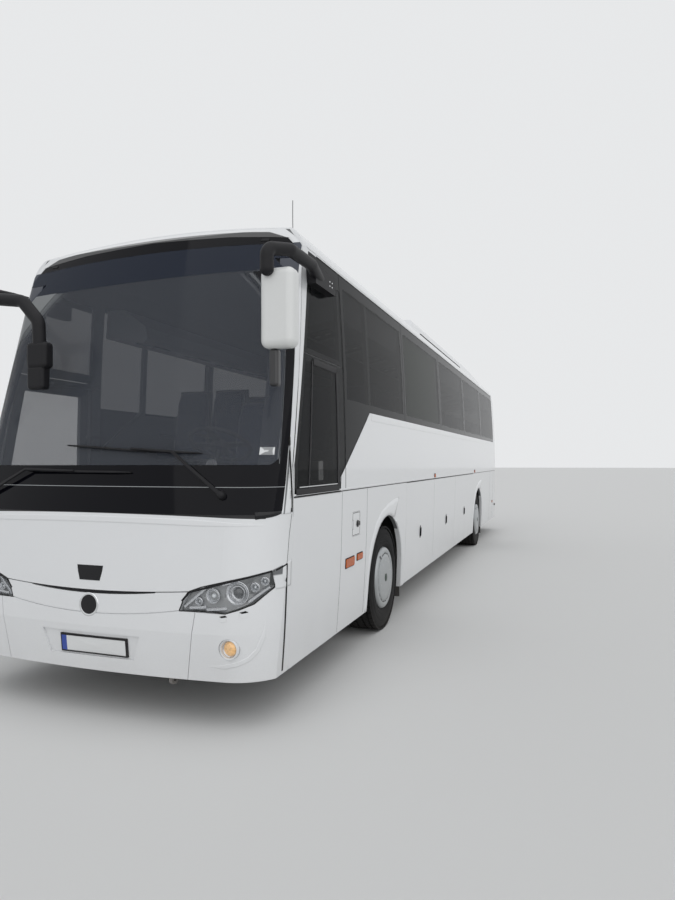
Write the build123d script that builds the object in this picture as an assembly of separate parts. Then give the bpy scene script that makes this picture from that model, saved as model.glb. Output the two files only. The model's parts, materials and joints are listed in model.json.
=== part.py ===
"""High-floor coach bus, about 13 metres long, built in millimetres.

Frame: +Z up, the coach faces -Y, the driver's side is +X. The origin lies on the
ground under the middle of the coach. Places along the coach are given as a
station: the distance behind the front axle, negative ahead of it.
"""
from build123d import *
from math import atan2, cos, degrees, hypot, radians, sin, sqrt
import os

# Overall sizes
BODY_LENGTH = 13050
HALF_WIDTH = 1275
NOSE_STATION = -2830
WHEELBASE = 6850
AXLE_Y = -NOSE_STATION - BODY_LENGTH / 2
REAR_STATION = NOSE_STATION + BODY_LENGTH

# Body wall and glass
WALL = 45
GLASS = 8
SEAT_GAP = 0.3
PANEL_GAP = 6
MOVE_GAP = 6

# Cross-section of the body, half width and height
SILL_Z = 304
SILL_X = 1231
BELT_Z = 1437
SIDE_GLASS_TOP_Z = 3205
CANTRAIL_Z = 3215
CANTRAIL_X = 1212
COVE_Z = 3370
COVE_X = 1100
CROWN_Z = 3440

# Plan curve of the front and rear, with tangent corners
PLAN_RADIUS = 7700
PLAN_HALF = HALF_WIDTH + 3
# Columns: height, station of the surface on the centre line, depth of the corner
FRONT_LEVELS = [
    (240, -2790, 409),
    (602, NOSE_STATION, 449),
    (1342, -2795, 414),
    (3356, -2120, 175),
    (3480, -1965, 175),
]
REAR_LEVELS = [
    (240, REAR_STATION - 70, 300),
    (640, REAR_STATION, 330),
    (1500, REAR_STATION - 30, 330),
    (3050, REAR_STATION - 190, 300),
    (3480, REAR_STATION - 560, 280),
]

# Seams between the front and the sides
PILLAR_FOOT = (-2381, 1650)
PILLAR_HEAD = (-2051, 3300)
REAR_SEAM = REAR_STATION - 400

# Wheels
TYRE_RADIUS = 511
TYRE_WIDTH = 298
TYRE_OUTER_X = 1230
TWIN_PITCH = 330
RIM_RADIUS = 286
ARCH_RADIUS = 620
ARCH_FLARE = 650
HOUSING_INNER_X = 555
HOUSING_HALF = 668
HOUSING_PLATE = 6
KINGPIN_X = 905
PIN_CLEARANCE = 0.06

# Floors
DECK_Z = 1340
DECK_DEPTH = 60
DECK_START = -1150
PLATFORM_Z = 1060
PLATFORM_DEPTH = 50
PLATFORM_START = -2700
RISER_DEPTH = 40
BAY_FLOOR_Z = 380
BAY_START = 690
BAY_END = 6120
BAY_FLOOR_DEPTH = 50
BULKHEAD = 40
SIDE_FRAME = 50
SIDE_FRAME_X = 1020

# Luggage flaps with lifting arms. Columns: name, side, first and last station
FLAP_TOP_Z = 1428
FLAP_THICKNESS = 22
FLAP_FRAME_INSET = 28
FLAP_BOTTOM_Z = 310
FLAPS = [
    ("luggage_flap_left_1", 1, 790, 2368),
    ("luggage_flap_left_2", 1, 2374, 4055),
    ("luggage_flap_left_3", 1, 4061, 6080),
    ("luggage_flap_right_1", -1, 790, 2368),
    ("luggage_flap_right_2", -1, 2374, 4055),
]
FLAP_PIVOT = (1180, 1225)
FLAP_ARM = 480
FLAP_OUT = 126
FLAP_ELBOW_DROP = 10
ARM_WIDTH = 28
ARM_PLATE = 20
ARM_INSET = 170
TUBE_RADIUS = 17
EYE_PIN_RADIUS = 9

# Passenger doors. Columns: name, front and rear station, sill and head height
DOORS = [
    ("front_door", -2376, -1405, 330, 2395),
    ("mid_door", 4420, 5290, 330, 2395),
]
DOOR_THICKNESS = 40
DOOR_PILLAR_X = 1168
DOOR_PILLAR_INSET = 42
DOOR_ARM = 465
DOOR_OUT = 128
DOOR_ELBOW_SHIFT = 12
DOOR_ARM_HEIGHTS = (470, 2335)
DOOR_BEARING_HEIGHTS = (1110, 1900)

# Side glass: sill of the passenger windows and the slope behind the driver
WINDOW_SILL_Z = 2118
DRIVER_SILL_Z = 1432
SLOPE_FOOT = (-1439, 1551)
SLOPE_HEAD = (-609, WINDOW_SILL_Z)
GLASS_REAR = 9560
GLASS_FRONT = 20
GLASS_SEAMS = (-1315, 750, 2900, 5100, 7330)
POST_HALF = 55

# Front details
PANEL_FOOT_Z = 876
PANEL_FOOT_SAG = 40
WINDSCREEN_FOOT_Z = 1342
# Upper edge of the windscreen as (distance from the middle, height)
WINDSCREEN_HEAD = [(0, 3345), (651, 3322), (1191, 3275), (1500, 3246)]
HEADER_FOOT_Z = 3120
HEADER_EDGE = 8
HEADLAMP = [(671, 738), (735, 861), (1252, 998), (1256, 905), (1140, 790), (979, 733)]
HEADLAMP_DEPTH = 120
FOG_X = 1000
FOG_Z = 514
FOG_RADIUS = 65
BUMPER_SEAM = ((713, 300), (781, 736))
PLATE_RECESS = [(-390, 556), (390, 556), (335, 398), (-335, 398)]
PLATE_DEPTH = 16
# Half width, height of the ends, sag of the middle and slot height
BUMPER_GROOVE = (705, 742, 58, 6)
AIR_SLOT = (500, 838, 26, 32)
AIR_SLOT_DEPTH = 36

# Rear details
LID_HALF = 960
LID_FOOT_Z = 640
LID_HEAD_Z = 1560
REAR_LAMP_X = (1030, 1150)
REAR_LAMP_Z = (760, 1500)
REAR_WINDOW = (980, 2150, 2950)

# Service flap behind the driver
SERVICE_FLAP = (-1124, -923, 1042, 1243)
SERVICE_THICKNESS = 18
SERVICE_GAP = 3
SERVICE_AXIS_X = 1272.5
SERVICE_BARREL = 6
LID_BARREL = 12

# Roof
HATCH_STATION = 900
HATCH_HALF = 330
HATCH_TOP_Z = 3475
ROOF_SEAM_X = 350
# Hood of the air conditioner: station and height of its top line
POD_LINE = [(2180, CROWN_Z - 60), (2520, 3640), (6700, 3640), (9450, 3500), (9600, CROWN_Z - 60)]
POD_FOOT_X = 990
POD_SHOULDER = (965, 3555)
POD_TOP_X = 840

# A reach beyond the skin, for blocks that are trimmed to it
REACH_X = 1300
REACH_S = 12000
REAR_SIDE = 60

# Stairs, with the heights of the treads from the door inwards
STEP_EDGE_X = -1180
STEP_PLATE = 20
TREAD_DEPTH = 40
CHEEK_X = -1000
STAIR_MARGIN = 20
STAIR_X = -440
STAIR_TREADS = (420, 630, 840)
MID_WELL_X = -560
MID_TREADS = (420, 640, 860, 1080)
HOUSING_FOOT_Z = 740

# Ladder frames. Columns: first and last station, stations of the cross members
FRAME_RUNS = [
    (-1380, BAY_START - SEAT_GAP, (-1300, -760, 640)),
    (BAY_END + SEAT_GAP, 9700, (6200, 7450, 9640)),
]
RAIL_X = 440
RAIL_WIDTH = 70
RAIL_Z = 690
RAIL_HEIGHT = 110
BEAM_HALF = 620
BEAM_STATION = -2600
BUMPER_BEAM_Z = 400
TOW_X = 560
TOW_STATION = -2680
TOW_Z = 275
TOW_PLATE = 24
TOW_BORE = 22
ENGINE_BLOCK = (-400, 400, 8450, 9600, 420, 1120)

# Front and rear axles
BEAM_Z = 440
EYE_RADIUS = 52
EYE_HEIGHT = 104
KINGPIN_RADIUS = 22
PIN_GAP = 1
FORK_PLATE = 30
FORK_FACE_X = 1000
STUB_RADIUS = 44
STUB_END_X = 1150
STEER_LEVER = 230
SPRING_X = 475
SPRING_RADIUS = 110
AXLE_TUBE_RADIUS = 85
DIFF_RADIUS = 190
HUB_RADIUS = 120
DISC_X = 1130
COVER_X = 1208
COVER_RADIUS = 305

# Lugs of the flaps and doors
LUG_PLATE = 8
LUG_GAP = 2
LUG_RADIUS = 16
DOOR_GLASS = (760, 90, 60)
SLIVER = 1e4

# Seats. Rings of cushion and back as (distance ahead, height over the floor)
SEAT_ROWS = 12
SEAT_FIRST = -250
SEAT_PITCH = 780
SEAT_X = 720
PAIR_WIDTH = 896
SINGLE_WIDTH = 480
SEAT_CUSHION = [(250, 345), (245, 440), (225, 458), (-70, 428), (-85, 335)]
SEAT_BACK = [
    (-70.4, 428), (-100, 640), (-165, 1090), (-190, 1125), (-265, 1125), (-285, 1085), (-250, 800),
    (-150, 335), (-85.4, 335)]
SEAT_STAND = (60, -150, 120, 334.7)
DRIVER_X = 560
DRIVER_STATION = -1640

# Racks over the seats, dashboard and steering wheel
RACK_Z = 2790
RACK_START = -1200
RACK_END = 9300
DASH_X = (-380, 1300)
DASH_TOP_Z = 1520
WHEEL_RING = 225
WHEEL_GRIP = 15
WHEEL_STATION = -2080
WHEEL_Z = 1800
WHEEL_TILT = -30
COLUMN_LENGTH = 420
COLUMN_RADIUS = 20
COLUMN_HOUSING = 46

# Mirrors. The arm runs as (x, station, height) from its foot to the head
MIRROR_FOOT = (-2030, -1620, 2945, 3075)
MIRROR_ARM = [(1245, -1800, 3010), (1325, -2180, 3030), (1340, -2580, 3010), (1278, -2784, 2965), (1278, -2784, 2838)]
MIRROR_TUBE = 42
MIRROR_BEND = 60
MIRROR_HEAD = (1326, -2700, 2612)
MIRROR_HEAD_SIZE = (226, 130, 492)
LOW_MIRROR = (1288, -2690, 2250.7)
LOW_MIRROR_SIZE = (60, 60, 230)
# Branch of the passenger side's arm, with the head that looks along the front
BRANCH = [(-1325, -2560, 3000), (-1120, -2640, 2900), (-760, -2640, 2850), (-610, -2640, 2690), (-598, -2640, 2480)]
BRANCH_TUBE = 46
FRONT_MIRROR = (-596, -2640, 2440)
FRONT_MIRROR_SIZE = (178, 96, 190)
FRONT_MIRROR_FOOT = (-608, -2640, 2280)
FRONT_MIRROR_FOOT_SIZE = (150, 84, 170)


def place(station):
    return station + AXLE_Y


def filled(points):
    """Flat face through a closed ring of 3-D points joined by straight lines."""
    return Face(Wire(Polyline(*points, close=True).edges()))


def side_prism(points, near=700, far=1700, side=1):
    """Extrude a ring of (station, height) points along X on one side of the coach."""
    ring = [(near, place(s), z) for s, z in points]
    solid = extrude(filled(ring), amount=far - near, dir=(1, 0, 0))
    return solid if side > 0 else solid.mirror(Plane.YZ)


def side_block(s0, s1, z0, z1, near=700, far=1700, side=1):
    return side_prism([(s0, z0), (s1, z0), (s1, z1), (s0, z1)], near, far, side)


def block(x0, x1, s0, s1, z0, z1):
    return Pos((x0 + x1) / 2, place((s0 + s1) / 2), (z0 + z1) / 2) * Box(x1 - x0, s1 - s0, z1 - z0)


def front_prism(points, near, far):
    """Extrude a ring of (x, height) points along the coach between two stations."""
    ring = [(x, place(near), z) for x, z in points]
    return extrude(filled(ring), amount=far - near, dir=(0, 1, 0))


def disc(x0, x1, station, z, radius):
    """Cylinder along X from x0 to x1."""
    centre = Pos((x0 + x1) / 2, place(station), z)
    return centre * Rot(0, 90, 0) * Cylinder(radius, abs(x1 - x0))


def plan_wire(level, inset, sign):
    """Plan curve at one height: a large arc with a tangent arc at each corner."""
    z, nose, depth = level
    corner = (2 * PLAN_RADIUS * depth - depth**2 - PLAN_HALF**2) / (2 * (PLAN_RADIUS - PLAN_HALF))
    half = PLAN_HALF - inset
    nose_y = place(nose) - sign * inset
    centre_y = place(nose) - sign * PLAN_RADIUS
    tangent_y = place(nose) - sign * depth
    radius = corner - inset
    corner_x = half - radius
    reach = hypot(corner_x, tangent_y - centre_y)
    out = (corner_x / reach, (tangent_y - centre_y) / reach)
    large = PLAN_RADIUS - inset
    tip = (out[0] * large, centre_y + out[1] * large)
    middle = atan2(out[1], out[0]) / 2
    knee = (corner_x + radius * cos(middle), tangent_y + radius * sin(middle))
    far_y = place(3000)
    edges = [
        Line((half, far_y, z), (half, tangent_y, z)),
        ThreePointArc((half, tangent_y, z), (knee[0], knee[1], z), (tip[0], tip[1], z)),
        ThreePointArc((tip[0], tip[1], z), (0, nose_y, z), (-tip[0], tip[1], z)),
        ThreePointArc((-tip[0], tip[1], z), (-knee[0], knee[1], z), (-half, tangent_y, z)),
        Line((-half, tangent_y, z), (-half, far_y, z)),
        Line((-half, far_y, z), (half, far_y, z)),
    ]
    return Wire(edges)


def section_face(inset, foot_z):
    """Cross-section of the body, moved inwards by the inset, down to foot_z."""
    sill = SILL_X - inset
    belt = HALF_WIDTH - inset
    rail = CANTRAIL_X - inset
    cove = (COVE_X - 0.7 * inset, COVE_Z - 0.8 * inset)
    crown = CROWN_Z - inset

    def at(x, z):
        return (x, 0, z)

    skirt = [Line(at(sill, foot_z), at(sill, SILL_Z))] if foot_z < SILL_Z else []
    right = skirt + [
        ThreePointArc(at(sill, SILL_Z), at(belt - 13, 880), at(belt, BELT_Z)),
        ThreePointArc(at(belt, BELT_Z), at(belt - 17, 2420), at(rail, CANTRAIL_Z)),
        ThreePointArc(at(rail, CANTRAIL_Z), at(rail - 34, 3304 - inset * 0.4), at(*cove)),
    ]
    top = ThreePointArc(at(*cove), at(0, crown), at(-cove[0], cove[1]))
    left = [edge.mirror(Plane.YZ) for edge in right]
    base = Line(at(-sill, foot_z), at(sill, foot_z))
    edges = [e for c in right + [top] + left + [base] for e in c.edges()]
    return Face(Wire(edges))


def envelope(inset):
    """Solid inside the body surface, moved inwards by the inset."""
    foot_z = SILL_Z if inset <= 0 else 200
    tube = extrude(Pos(0, place(-3200), 0) * section_face(inset, foot_z), amount=14000, dir=(0, 1, 0))
    front = Solid.make_loft([plan_wire(level, inset, -1) for level in FRONT_LEVELS], ruled=True)
    rear = Solid.make_loft([plan_wire(level, inset, 1) for level in REAR_LEVELS], ruled=True)
    return (tube & front) + (tube & rear)


def arch_outline(station, radius, flare):
    """Ring of a wheel arch in the side plane, as a face at x = 0."""
    y = place(station)
    foot = 100
    edges = [
        ThreePointArc((0, y - radius, TYRE_RADIUS), (0, y, TYRE_RADIUS + radius), (0, y + radius, TYRE_RADIUS)),
        Line((0, y + radius, TYRE_RADIUS), (0, y + flare, foot)),
        Line((0, y + flare, foot), (0, y - flare, foot)),
        Line((0, y - flare, foot), (0, y - radius, TYRE_RADIUS)),
    ]
    return Face(Wire(edges))


def arch_cut(station):
    face = arch_outline(station, ARCH_RADIUS, ARCH_FLARE)
    return extrude(Pos(-1500, 0, 0) * face, amount=3000, dir=(1, 0, 0))


outer = envelope(0)
behind_glass = envelope(GLASS + SEAT_GAP)
inner = envelope(WALL)
seat_face = envelope(WALL + SEAT_GAP)
glass_back = envelope(GLASS)
flap_back = envelope(FLAP_THICKNESS)
frame_front = envelope(FLAP_FRAME_INSET)
door_back = envelope(DOOR_THICKNESS)
behind_slot = envelope(AIR_SLOT_DEPTH)

shell = outer - inner
glass_skin = outer - glass_back


def pillar_station(z):
    """Station of the seam beside the windscreen at a height above its bend."""
    share = (z - PILLAR_FOOT[1]) / (PILLAR_HEAD[1] - PILLAR_FOOT[1])
    return PILLAR_FOOT[0] + share * (PILLAR_HEAD[0] - PILLAR_FOOT[0])


def pillar_line(offset):
    """Station and height points of the seam beside the windscreen, moved back by the offset."""
    return [
        (PILLAR_FOOT[0] + offset, 0),
        (PILLAR_FOOT[0] + offset, PILLAR_FOOT[1]),
        (PILLAR_HEAD[0] + offset, PILLAR_HEAD[1]),
        (PILLAR_HEAD[0] + 60 + offset, 3700),
    ]


front_zone = side_prism(pillar_line(-PANEL_GAP / 2) + [(-3300, 3700), (-3300, 0)], -1500, 1500)
side_band = side_prism(
    pillar_line(PANEL_GAP / 2)[:2]
    + [(pillar_station(CANTRAIL_Z) + PANEL_GAP / 2, CANTRAIL_Z), (REAR_SEAM, CANTRAIL_Z), (REAR_SEAM, 0)],
    700,
    1500,
)


def side_zone(side):
    return side_band if side > 0 else side_band.mirror(Plane.YZ)


def glass_outline(gap):
    """Ring of the side glass as (station, height), grown by the gap."""
    return [
        (PILLAR_FOOT[0] + GLASS_FRONT - gap, DRIVER_SILL_Z - gap),
        (SLOPE_FOOT[0] + gap, DRIVER_SILL_Z - gap),
        (SLOPE_FOOT[0] + gap, SLOPE_FOOT[1] - gap),
        (SLOPE_HEAD[0] + gap, SLOPE_HEAD[1] - gap),
        (GLASS_REAR + gap, WINDOW_SILL_Z - gap),
        (GLASS_REAR + gap, SIDE_GLASS_TOP_Z),
        (pillar_station(SIDE_GLASS_TOP_Z) + 110 - gap, SIDE_GLASS_TOP_Z),
        (PILLAR_FOOT[0] + GLASS_FRONT - gap, PILLAR_FOOT[1]),
    ]


def door_ring(door, inset, low, high):
    """Ring of a door leaf; the front door follows the slanted windscreen seam."""
    name, front, rear, sill, head = door
    ring = [(front + inset, low), (rear - inset, low), (rear - inset, high)]
    if front < PILLAR_FOOT[0] + 50:
        shift = front - PILLAR_FOOT[0] + inset
        return ring + [(pillar_station(high) + shift, high), (PILLAR_FOOT[0] + shift, PILLAR_FOOT[1])]
    return ring + [(front + inset, high)]


def door_space(door, gap):
    """Block round a doorway, grown by the gap and open below its sill."""
    name, front, rear, sill, head = door
    return side_block(front - gap, rear + gap, 0, head + gap, 700, 1500, -1)


def window_cuts(side):
    """Apertures in the wall behind the side glass."""
    cuts = []
    stations = list(GLASS_SEAMS) + [GLASS_REAR - 40]
    for first, last in zip(stations, stations[1:]):
        start = max(first + POST_HALF, -540)
        cuts.append(side_block(start, last - POST_HALF, WINDOW_SILL_Z + 45, SIDE_GLASS_TOP_Z - 55, side=side))
    post = GLASS_SEAMS[0] - POST_HALF
    quarter_head = SIDE_GLASS_TOP_Z - 90
    cuts.append(side_prism([(-2080, 2480), (post, 2480), (post, quarter_head), (-1910, quarter_head)], side=side))
    cuts.append(side_prism([(-1240, 1760), (-600, 2190), (-600, 3150), (-1240, 3150)], side=side))
    if side > 0:
        cuts.append(side_prism([(-2290, 1490), (-1490, 1490), (-1490, 2380), (-2110, 2380), (-2290, 1650)], side=side))
    return cuts


def wall(side):
    """Side wall from the windscreen pillar to the rear seam, up to the roof seam."""
    solid = shell & side_zone(side)
    glass_bed = side_prism(glass_outline(3), side=side)
    if side < 0:
        glass_bed -= side_block(-2600, DOORS[0][2] + 35, 0, DOORS[0][4] + 30, 600, 1600, side)
    solid -= glass_bed - behind_glass
    for station in (0, WHEELBASE):
        solid -= arch_cut(station)
    for name, flap_side, first, last in FLAPS:
        if flap_side == side:
            bed = side_block(first - 3, last + 3, 0, FLAP_TOP_Z + MOVE_GAP, side=side)
            solid -= bed - frame_front
            solid -= side_block(first + 90, last - 90, BAY_FLOOR_Z + 20, DECK_Z - DECK_DEPTH - 5, side=side)
    for cut in window_cuts(side):
        solid -= cut
    if side < 0:
        for door in DOORS:
            solid -= door_space(door, MOVE_GAP)
    else:
        s0, s1, z0, z1 = SERVICE_FLAP
        gap = SERVICE_GAP
        solid -= side_block(s0 - gap, s1 + gap, z0 - gap, z1 + gap, side=side)
    return solid


def side_glass(side):
    """Flush panes of one side, with a narrow joint between neighbours."""
    solid = glass_skin & side_prism(glass_outline(0), side=side)
    for seam in GLASS_SEAMS:
        solid -= side_block(seam - 4, seam + 4, 1300, 3400, side=side)
    if side > 0:
        solid -= side_block(-2400, GLASS_SEAMS[0], 2430, 2440, side=side)
    else:
        solid -= side_block(-2600, DOORS[0][2] + 40, 0, DOORS[0][4] + 35, 600, 1600, side)
        solid -= door_space(DOORS[1], MOVE_GAP + 30)
    return solid


def front_panel():
    """Front mask with the windscreen frame, above the bumper."""
    solid = shell & front_zone
    foot_arc = Face(Wire([
        ThreePointArc((-1500, 0, PANEL_FOOT_Z + 70), (0, 0, PANEL_FOOT_Z - PANEL_FOOT_SAG),
                      (1500, 0, PANEL_FOOT_Z + 70)),
        Line((1500, 0, PANEL_FOOT_Z + 70), (1500, 0, 0)),
        Line((1500, 0, 0), (-1500, 0, 0)),
        Line((-1500, 0, 0), (-1500, 0, PANEL_FOOT_Z + 70)),
    ]))
    below = extrude(Pos(0, place(-3300), 0) * foot_arc, amount=2000, dir=(0, 1, 0))
    solid -= below
    solid -= windscreen_zone(3) - behind_glass
    solid -= front_prism([(-1120, 1520), (1120, 1520), (1060, 3260), (-1060, 3260)], -3300, -1700)
    for sign in (1, -1):
        solid -= lamp_prism(sign, 3)
    return solid, below


def windscreen_zone(gap):
    """Space in which the outer skin of the front is glass, under a header that reaches both pillars."""
    foot = WINDSCREEN_FOOT_Z - gap
    head = [(x, z + gap) for x, z in WINDSCREEN_HEAD]
    ring = [(1500, foot)] + head[::-1] + [(-x, z) for x, z in head[1:]] + [(-1500, foot)]
    ahead = [(-3300, 3700), (-3300, 0)]
    tall = side_prism(pillar_line(-PANEL_GAP / 2 - 40 + gap) + ahead, -1500, 1500)
    wide = side_prism(pillar_line(-PANEL_GAP / 2 - HEADER_EDGE + gap) + ahead, -1500, 1500)
    header = wide & block(-1500, 1500, -3300, -1500, HEADER_FOOT_Z - gap, 3700)
    return (tall + header) & front_prism(ring, -3300, -1500)


def lamp_prism(sign, gap):
    centre_x = sum(x for x, z in HEADLAMP) / len(HEADLAMP)
    centre_z = sum(z for x, z in HEADLAMP) / len(HEADLAMP)
    ring = []
    for x, z in HEADLAMP:
        away = hypot(x - centre_x, z - centre_z)
        ring.append((sign * (x + gap * (x - centre_x) / away), z + gap * (z - centre_z) / away))
    return front_prism(ring, -3300, -2396)


def front_bumper(below):
    """Three bumper pieces that meet at slanted seams beside the number plate."""
    solid = shell & front_zone & (Pos(0, 0, -PANEL_GAP) * below)
    (foot_x, foot_z), (head_x, head_z) = BUMPER_SEAM
    slant = (head_x - foot_x) / (head_z - foot_z)
    top_x = head_x + slant * 200
    for sign in (1, -1):
        seam = [(foot_x - 2, foot_z - 20), (foot_x + 2, foot_z - 20), (top_x + 2, head_z + 200), (top_x - 2, head_z + 200)]
        solid -= front_prism([(sign * x, z) for x, z in seam], -3300, -2300)
        solid -= lamp_prism(sign, 3)
        solid -= Pos(sign * FOG_X, place(-2700), FOG_Z) * Rot(90, 0, 0) * Cylinder(FOG_RADIUS + SEAT_GAP, 700)
    solid -= front_prism(PLATE_RECESS, -3300, -2300) - envelope(PLATE_DEPTH)
    solid -= sagging_slot(*BUMPER_GROOVE) - behind_glass
    solid -= sagging_slot(*AIR_SLOT) - behind_slot
    return solid


def sagging_slot(half, end_z, sag, tall):
    """Slot across the front whose middle hangs lower than its ends."""
    low = ThreePointArc((-half, 0, end_z), (0, 0, end_z - sag), (half, 0, end_z))
    high = ThreePointArc((half, 0, end_z + tall), (0, 0, end_z + tall - sag), (-half, 0, end_z + tall))
    sides = [Line((half, 0, end_z), (half, 0, end_z + tall)), Line((-half, 0, end_z + tall), (-half, 0, end_z))]
    return extrude(Pos(0, place(-3300), 0) * Face(Wire([low, sides[0], high, sides[1]])), amount=900, dir=(0, 1, 0))


def front_lamps():
    """Headlamp blocks and round fog lamps, flush with the front."""
    body = outer - envelope(HEADLAMP_DEPTH)
    lamps = []
    for sign in (1, -1):
        lamps += (body & front_zone & lamp_prism(sign, 0)).solids()
        fog = Pos(sign * FOG_X, place(-2700), FOG_Z) * Rot(90, 0, 0) * Cylinder(FOG_RADIUS, 700)
        lamps += ((outer - envelope(WALL + 30)) & fog & front_zone).solids()
    return lamps


def roof_parts():
    """Roof skin in three strips from the windscreen head to the rear seam, with a raised hatch."""
    zone = side_prism(
        [(pillar_station(CANTRAIL_Z + SEAT_GAP) + PANEL_GAP / 2, CANTRAIL_Z + SEAT_GAP)] + pillar_line(PANEL_GAP / 2)[2:]
        + [(REAR_SEAM, 3700), (REAR_SEAM, CANTRAIL_Z + SEAT_GAP)], -1500, 1500)
    roof = shell & zone
    hatch_foot = CROWN_Z - WALL
    first, last = HATCH_STATION - HATCH_HALF, HATCH_STATION + HATCH_HALF
    roof += block(-HATCH_HALF, HATCH_HALF, first, last, hatch_foot, HATCH_TOP_Z)
    for side in (1, -1):
        seam = side * ROOF_SEAM_X
        roof -= block(seam - SEAT_GAP / 2, seam + SEAT_GAP / 2, NOSE_STATION, REACH_S, hatch_foot - 200, HATCH_TOP_Z)
    return roof


def roof_unit():
    """Air conditioner hood: a long round-shouldered fairing that rests on the roof."""
    top_z = POD_LINE[1][1]
    foot_z = POD_LINE[0][1]
    shoulder_x, shoulder_z = POD_SHOULDER
    bend = ((shoulder_x + POD_TOP_X) / 2 + 38, (shoulder_z + top_z) / 2 + 18)
    edges = [
        Line((-POD_FOOT_X, 0, foot_z), (-shoulder_x, 0, shoulder_z)),
        ThreePointArc((-shoulder_x, 0, shoulder_z), (-bend[0], 0, bend[1]), (-POD_TOP_X, 0, top_z)),
        Line((-POD_TOP_X, 0, top_z), (POD_TOP_X, 0, top_z)),
        ThreePointArc((POD_TOP_X, 0, top_z), (bend[0], 0, bend[1]), (shoulder_x, 0, shoulder_z)),
        Line((shoulder_x, 0, shoulder_z), (POD_FOOT_X, 0, foot_z)),
        Line((POD_FOOT_X, 0, foot_z), (-POD_FOOT_X, 0, foot_z)),
    ]
    first, last = POD_LINE[0][0], POD_LINE[-1][0]
    tunnel = extrude(Pos(0, place(first), 0) * Face(Wire(edges)), amount=last - first, dir=(0, 1, 0))
    hood = tunnel & side_prism(POD_LINE, -POD_FOOT_X, POD_FOOT_X)
    return hood - envelope(-SEAT_GAP)


def rear_panel():
    """Rear skin above the bumper with its window, lamp beds and lid opening."""
    zone = block(-1500, 1500, REAR_SEAM + PANEL_GAP / 2, REACH_S, LID_FOOT_Z - 40, 3700)
    solid = shell & zone
    half, low, high = REAR_WINDOW
    solid -= block(-half - 3, half + 3, REAR_SEAM + REAR_SIDE, REACH_S, low - 3, high + 3) - behind_glass
    solid -= block(-half + 50, half - 50, REAR_SEAM + REAR_SIDE, REACH_S, low + 50, high - 50)
    solid -= block(-LID_HALF - MOVE_GAP, LID_HALF + MOVE_GAP, REAR_SEAM + REAR_SIDE, REACH_S, 0, LID_HEAD_Z + MOVE_GAP)
    for sign in (1, -1):
        solid -= lamp_bed(sign, 2)
    return solid


def lamp_bed(sign, gap):
    x0, x1 = REAR_LAMP_X
    z0, z1 = REAR_LAMP_Z
    low, high = sorted((sign * (x0 - gap), sign * (x1 + gap)))
    return block(low, high, REAR_SEAM + REAR_SIDE, REACH_S, z0 - gap, z1 + gap)


def hinged(carrier, leaf, places):
    """Join a leaf to its carrier by a barrel hinge at each place, with its pin on the leaf."""
    gap = 1
    for place_on, radius, segment in places:
        ends = [place_on * Pos(0, 0, sign * (segment + gap)) for sign in (1, -1)]
        carrier += place_on * Cylinder(radius, segment)
        carrier -= place_on * Cylinder(radius / 2 + PIN_CLEARANCE, 4 * segment)
        leaf -= place_on * Cylinder(radius + 2, segment + 2 * gap)
        leaf += place_on * Cylinder(radius / 2, 2 * segment)
        for end in ends:
            carrier -= end * Cylinder(radius + 2, segment + 2 * gap)
            leaf += end * Cylinder(radius, segment)
    return carrier, leaf


def engine_lid():
    zone = block(-LID_HALF, LID_HALF, REAR_SEAM + REAR_SIDE, REACH_S, LID_FOOT_Z, LID_HEAD_Z)
    return (outer - flap_back) & zone


def lid_hinges():
    """Places of the two hinges over the engine lid, on the outer surface."""
    level = LID_HEAD_Z + MOVE_GAP / 2
    share = (level - REAR_LEVELS[2][0]) / (REAR_LEVELS[3][0] - REAR_LEVELS[2][0])
    surface = REAR_LEVELS[2][1] + share * (REAR_LEVELS[3][1] - REAR_LEVELS[2][1])
    return [(Pos(x, place(surface), level) * Rot(0, 90, 0), LID_BARREL, 50) for x in (-300, 300)]


def service_hinge():
    s0, s1, z0, z1 = SERVICE_FLAP
    return [(Pos(SERVICE_AXIS_X, place(s0 - SERVICE_GAP / 2), (z0 + z1) / 2), SERVICE_BARREL, 22)]


def rear_bumper():
    zone = block(-1500, 1500, REAR_SEAM + PANEL_GAP / 2, REACH_S, SILL_Z, LID_FOOT_Z - 40 - PANEL_GAP)
    return shell & zone


def panels(rows):
    """Flat panels trimmed to the skin, each a hair smaller than its room. Rows: x, station and height pairs."""
    edge = SEAT_GAP / 2
    pieces = []
    for x0, x1, s0, s1, z0, z1 in rows:
        pieces.append(block(x0 + edge, x1 - edge, s0 + edge, s1 - edge, z0, z1) & seat_face)
    return pieces


def floors():
    """Passenger deck, its front riser and the driver's platform, open at both stairwells."""
    front, rear = DOORS[0][1] - STAIR_MARGIN, DOORS[0][2] + STAIR_MARGIN
    well_front, well_rear = DOORS[1][1] - STAIR_MARGIN, DOORS[1][2] + STAIR_MARGIN
    deck_foot = DECK_Z - DECK_DEPTH
    foot = PLATFORM_Z - PLATFORM_DEPTH
    riser_end = DECK_START + RISER_DEPTH
    return panels([
        (-REACH_X, REACH_X, riser_end, well_front, deck_foot, DECK_Z),
        (MID_WELL_X, REACH_X, well_front, well_rear, deck_foot, DECK_Z),
        (-REACH_X, REACH_X, well_rear, REAR_STATION - 120, deck_foot, DECK_Z),
        (-REACH_X, REACH_X, DECK_START, riser_end, foot, DECK_Z),
        (-REACH_X, REACH_X, rear, DECK_START, foot, PLATFORM_Z),
        (STAIR_X, REACH_X, PLATFORM_START, rear, foot, PLATFORM_Z),
        (-REACH_X, STAIR_X, PLATFORM_START, front, foot, PLATFORM_Z),
    ])


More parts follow.
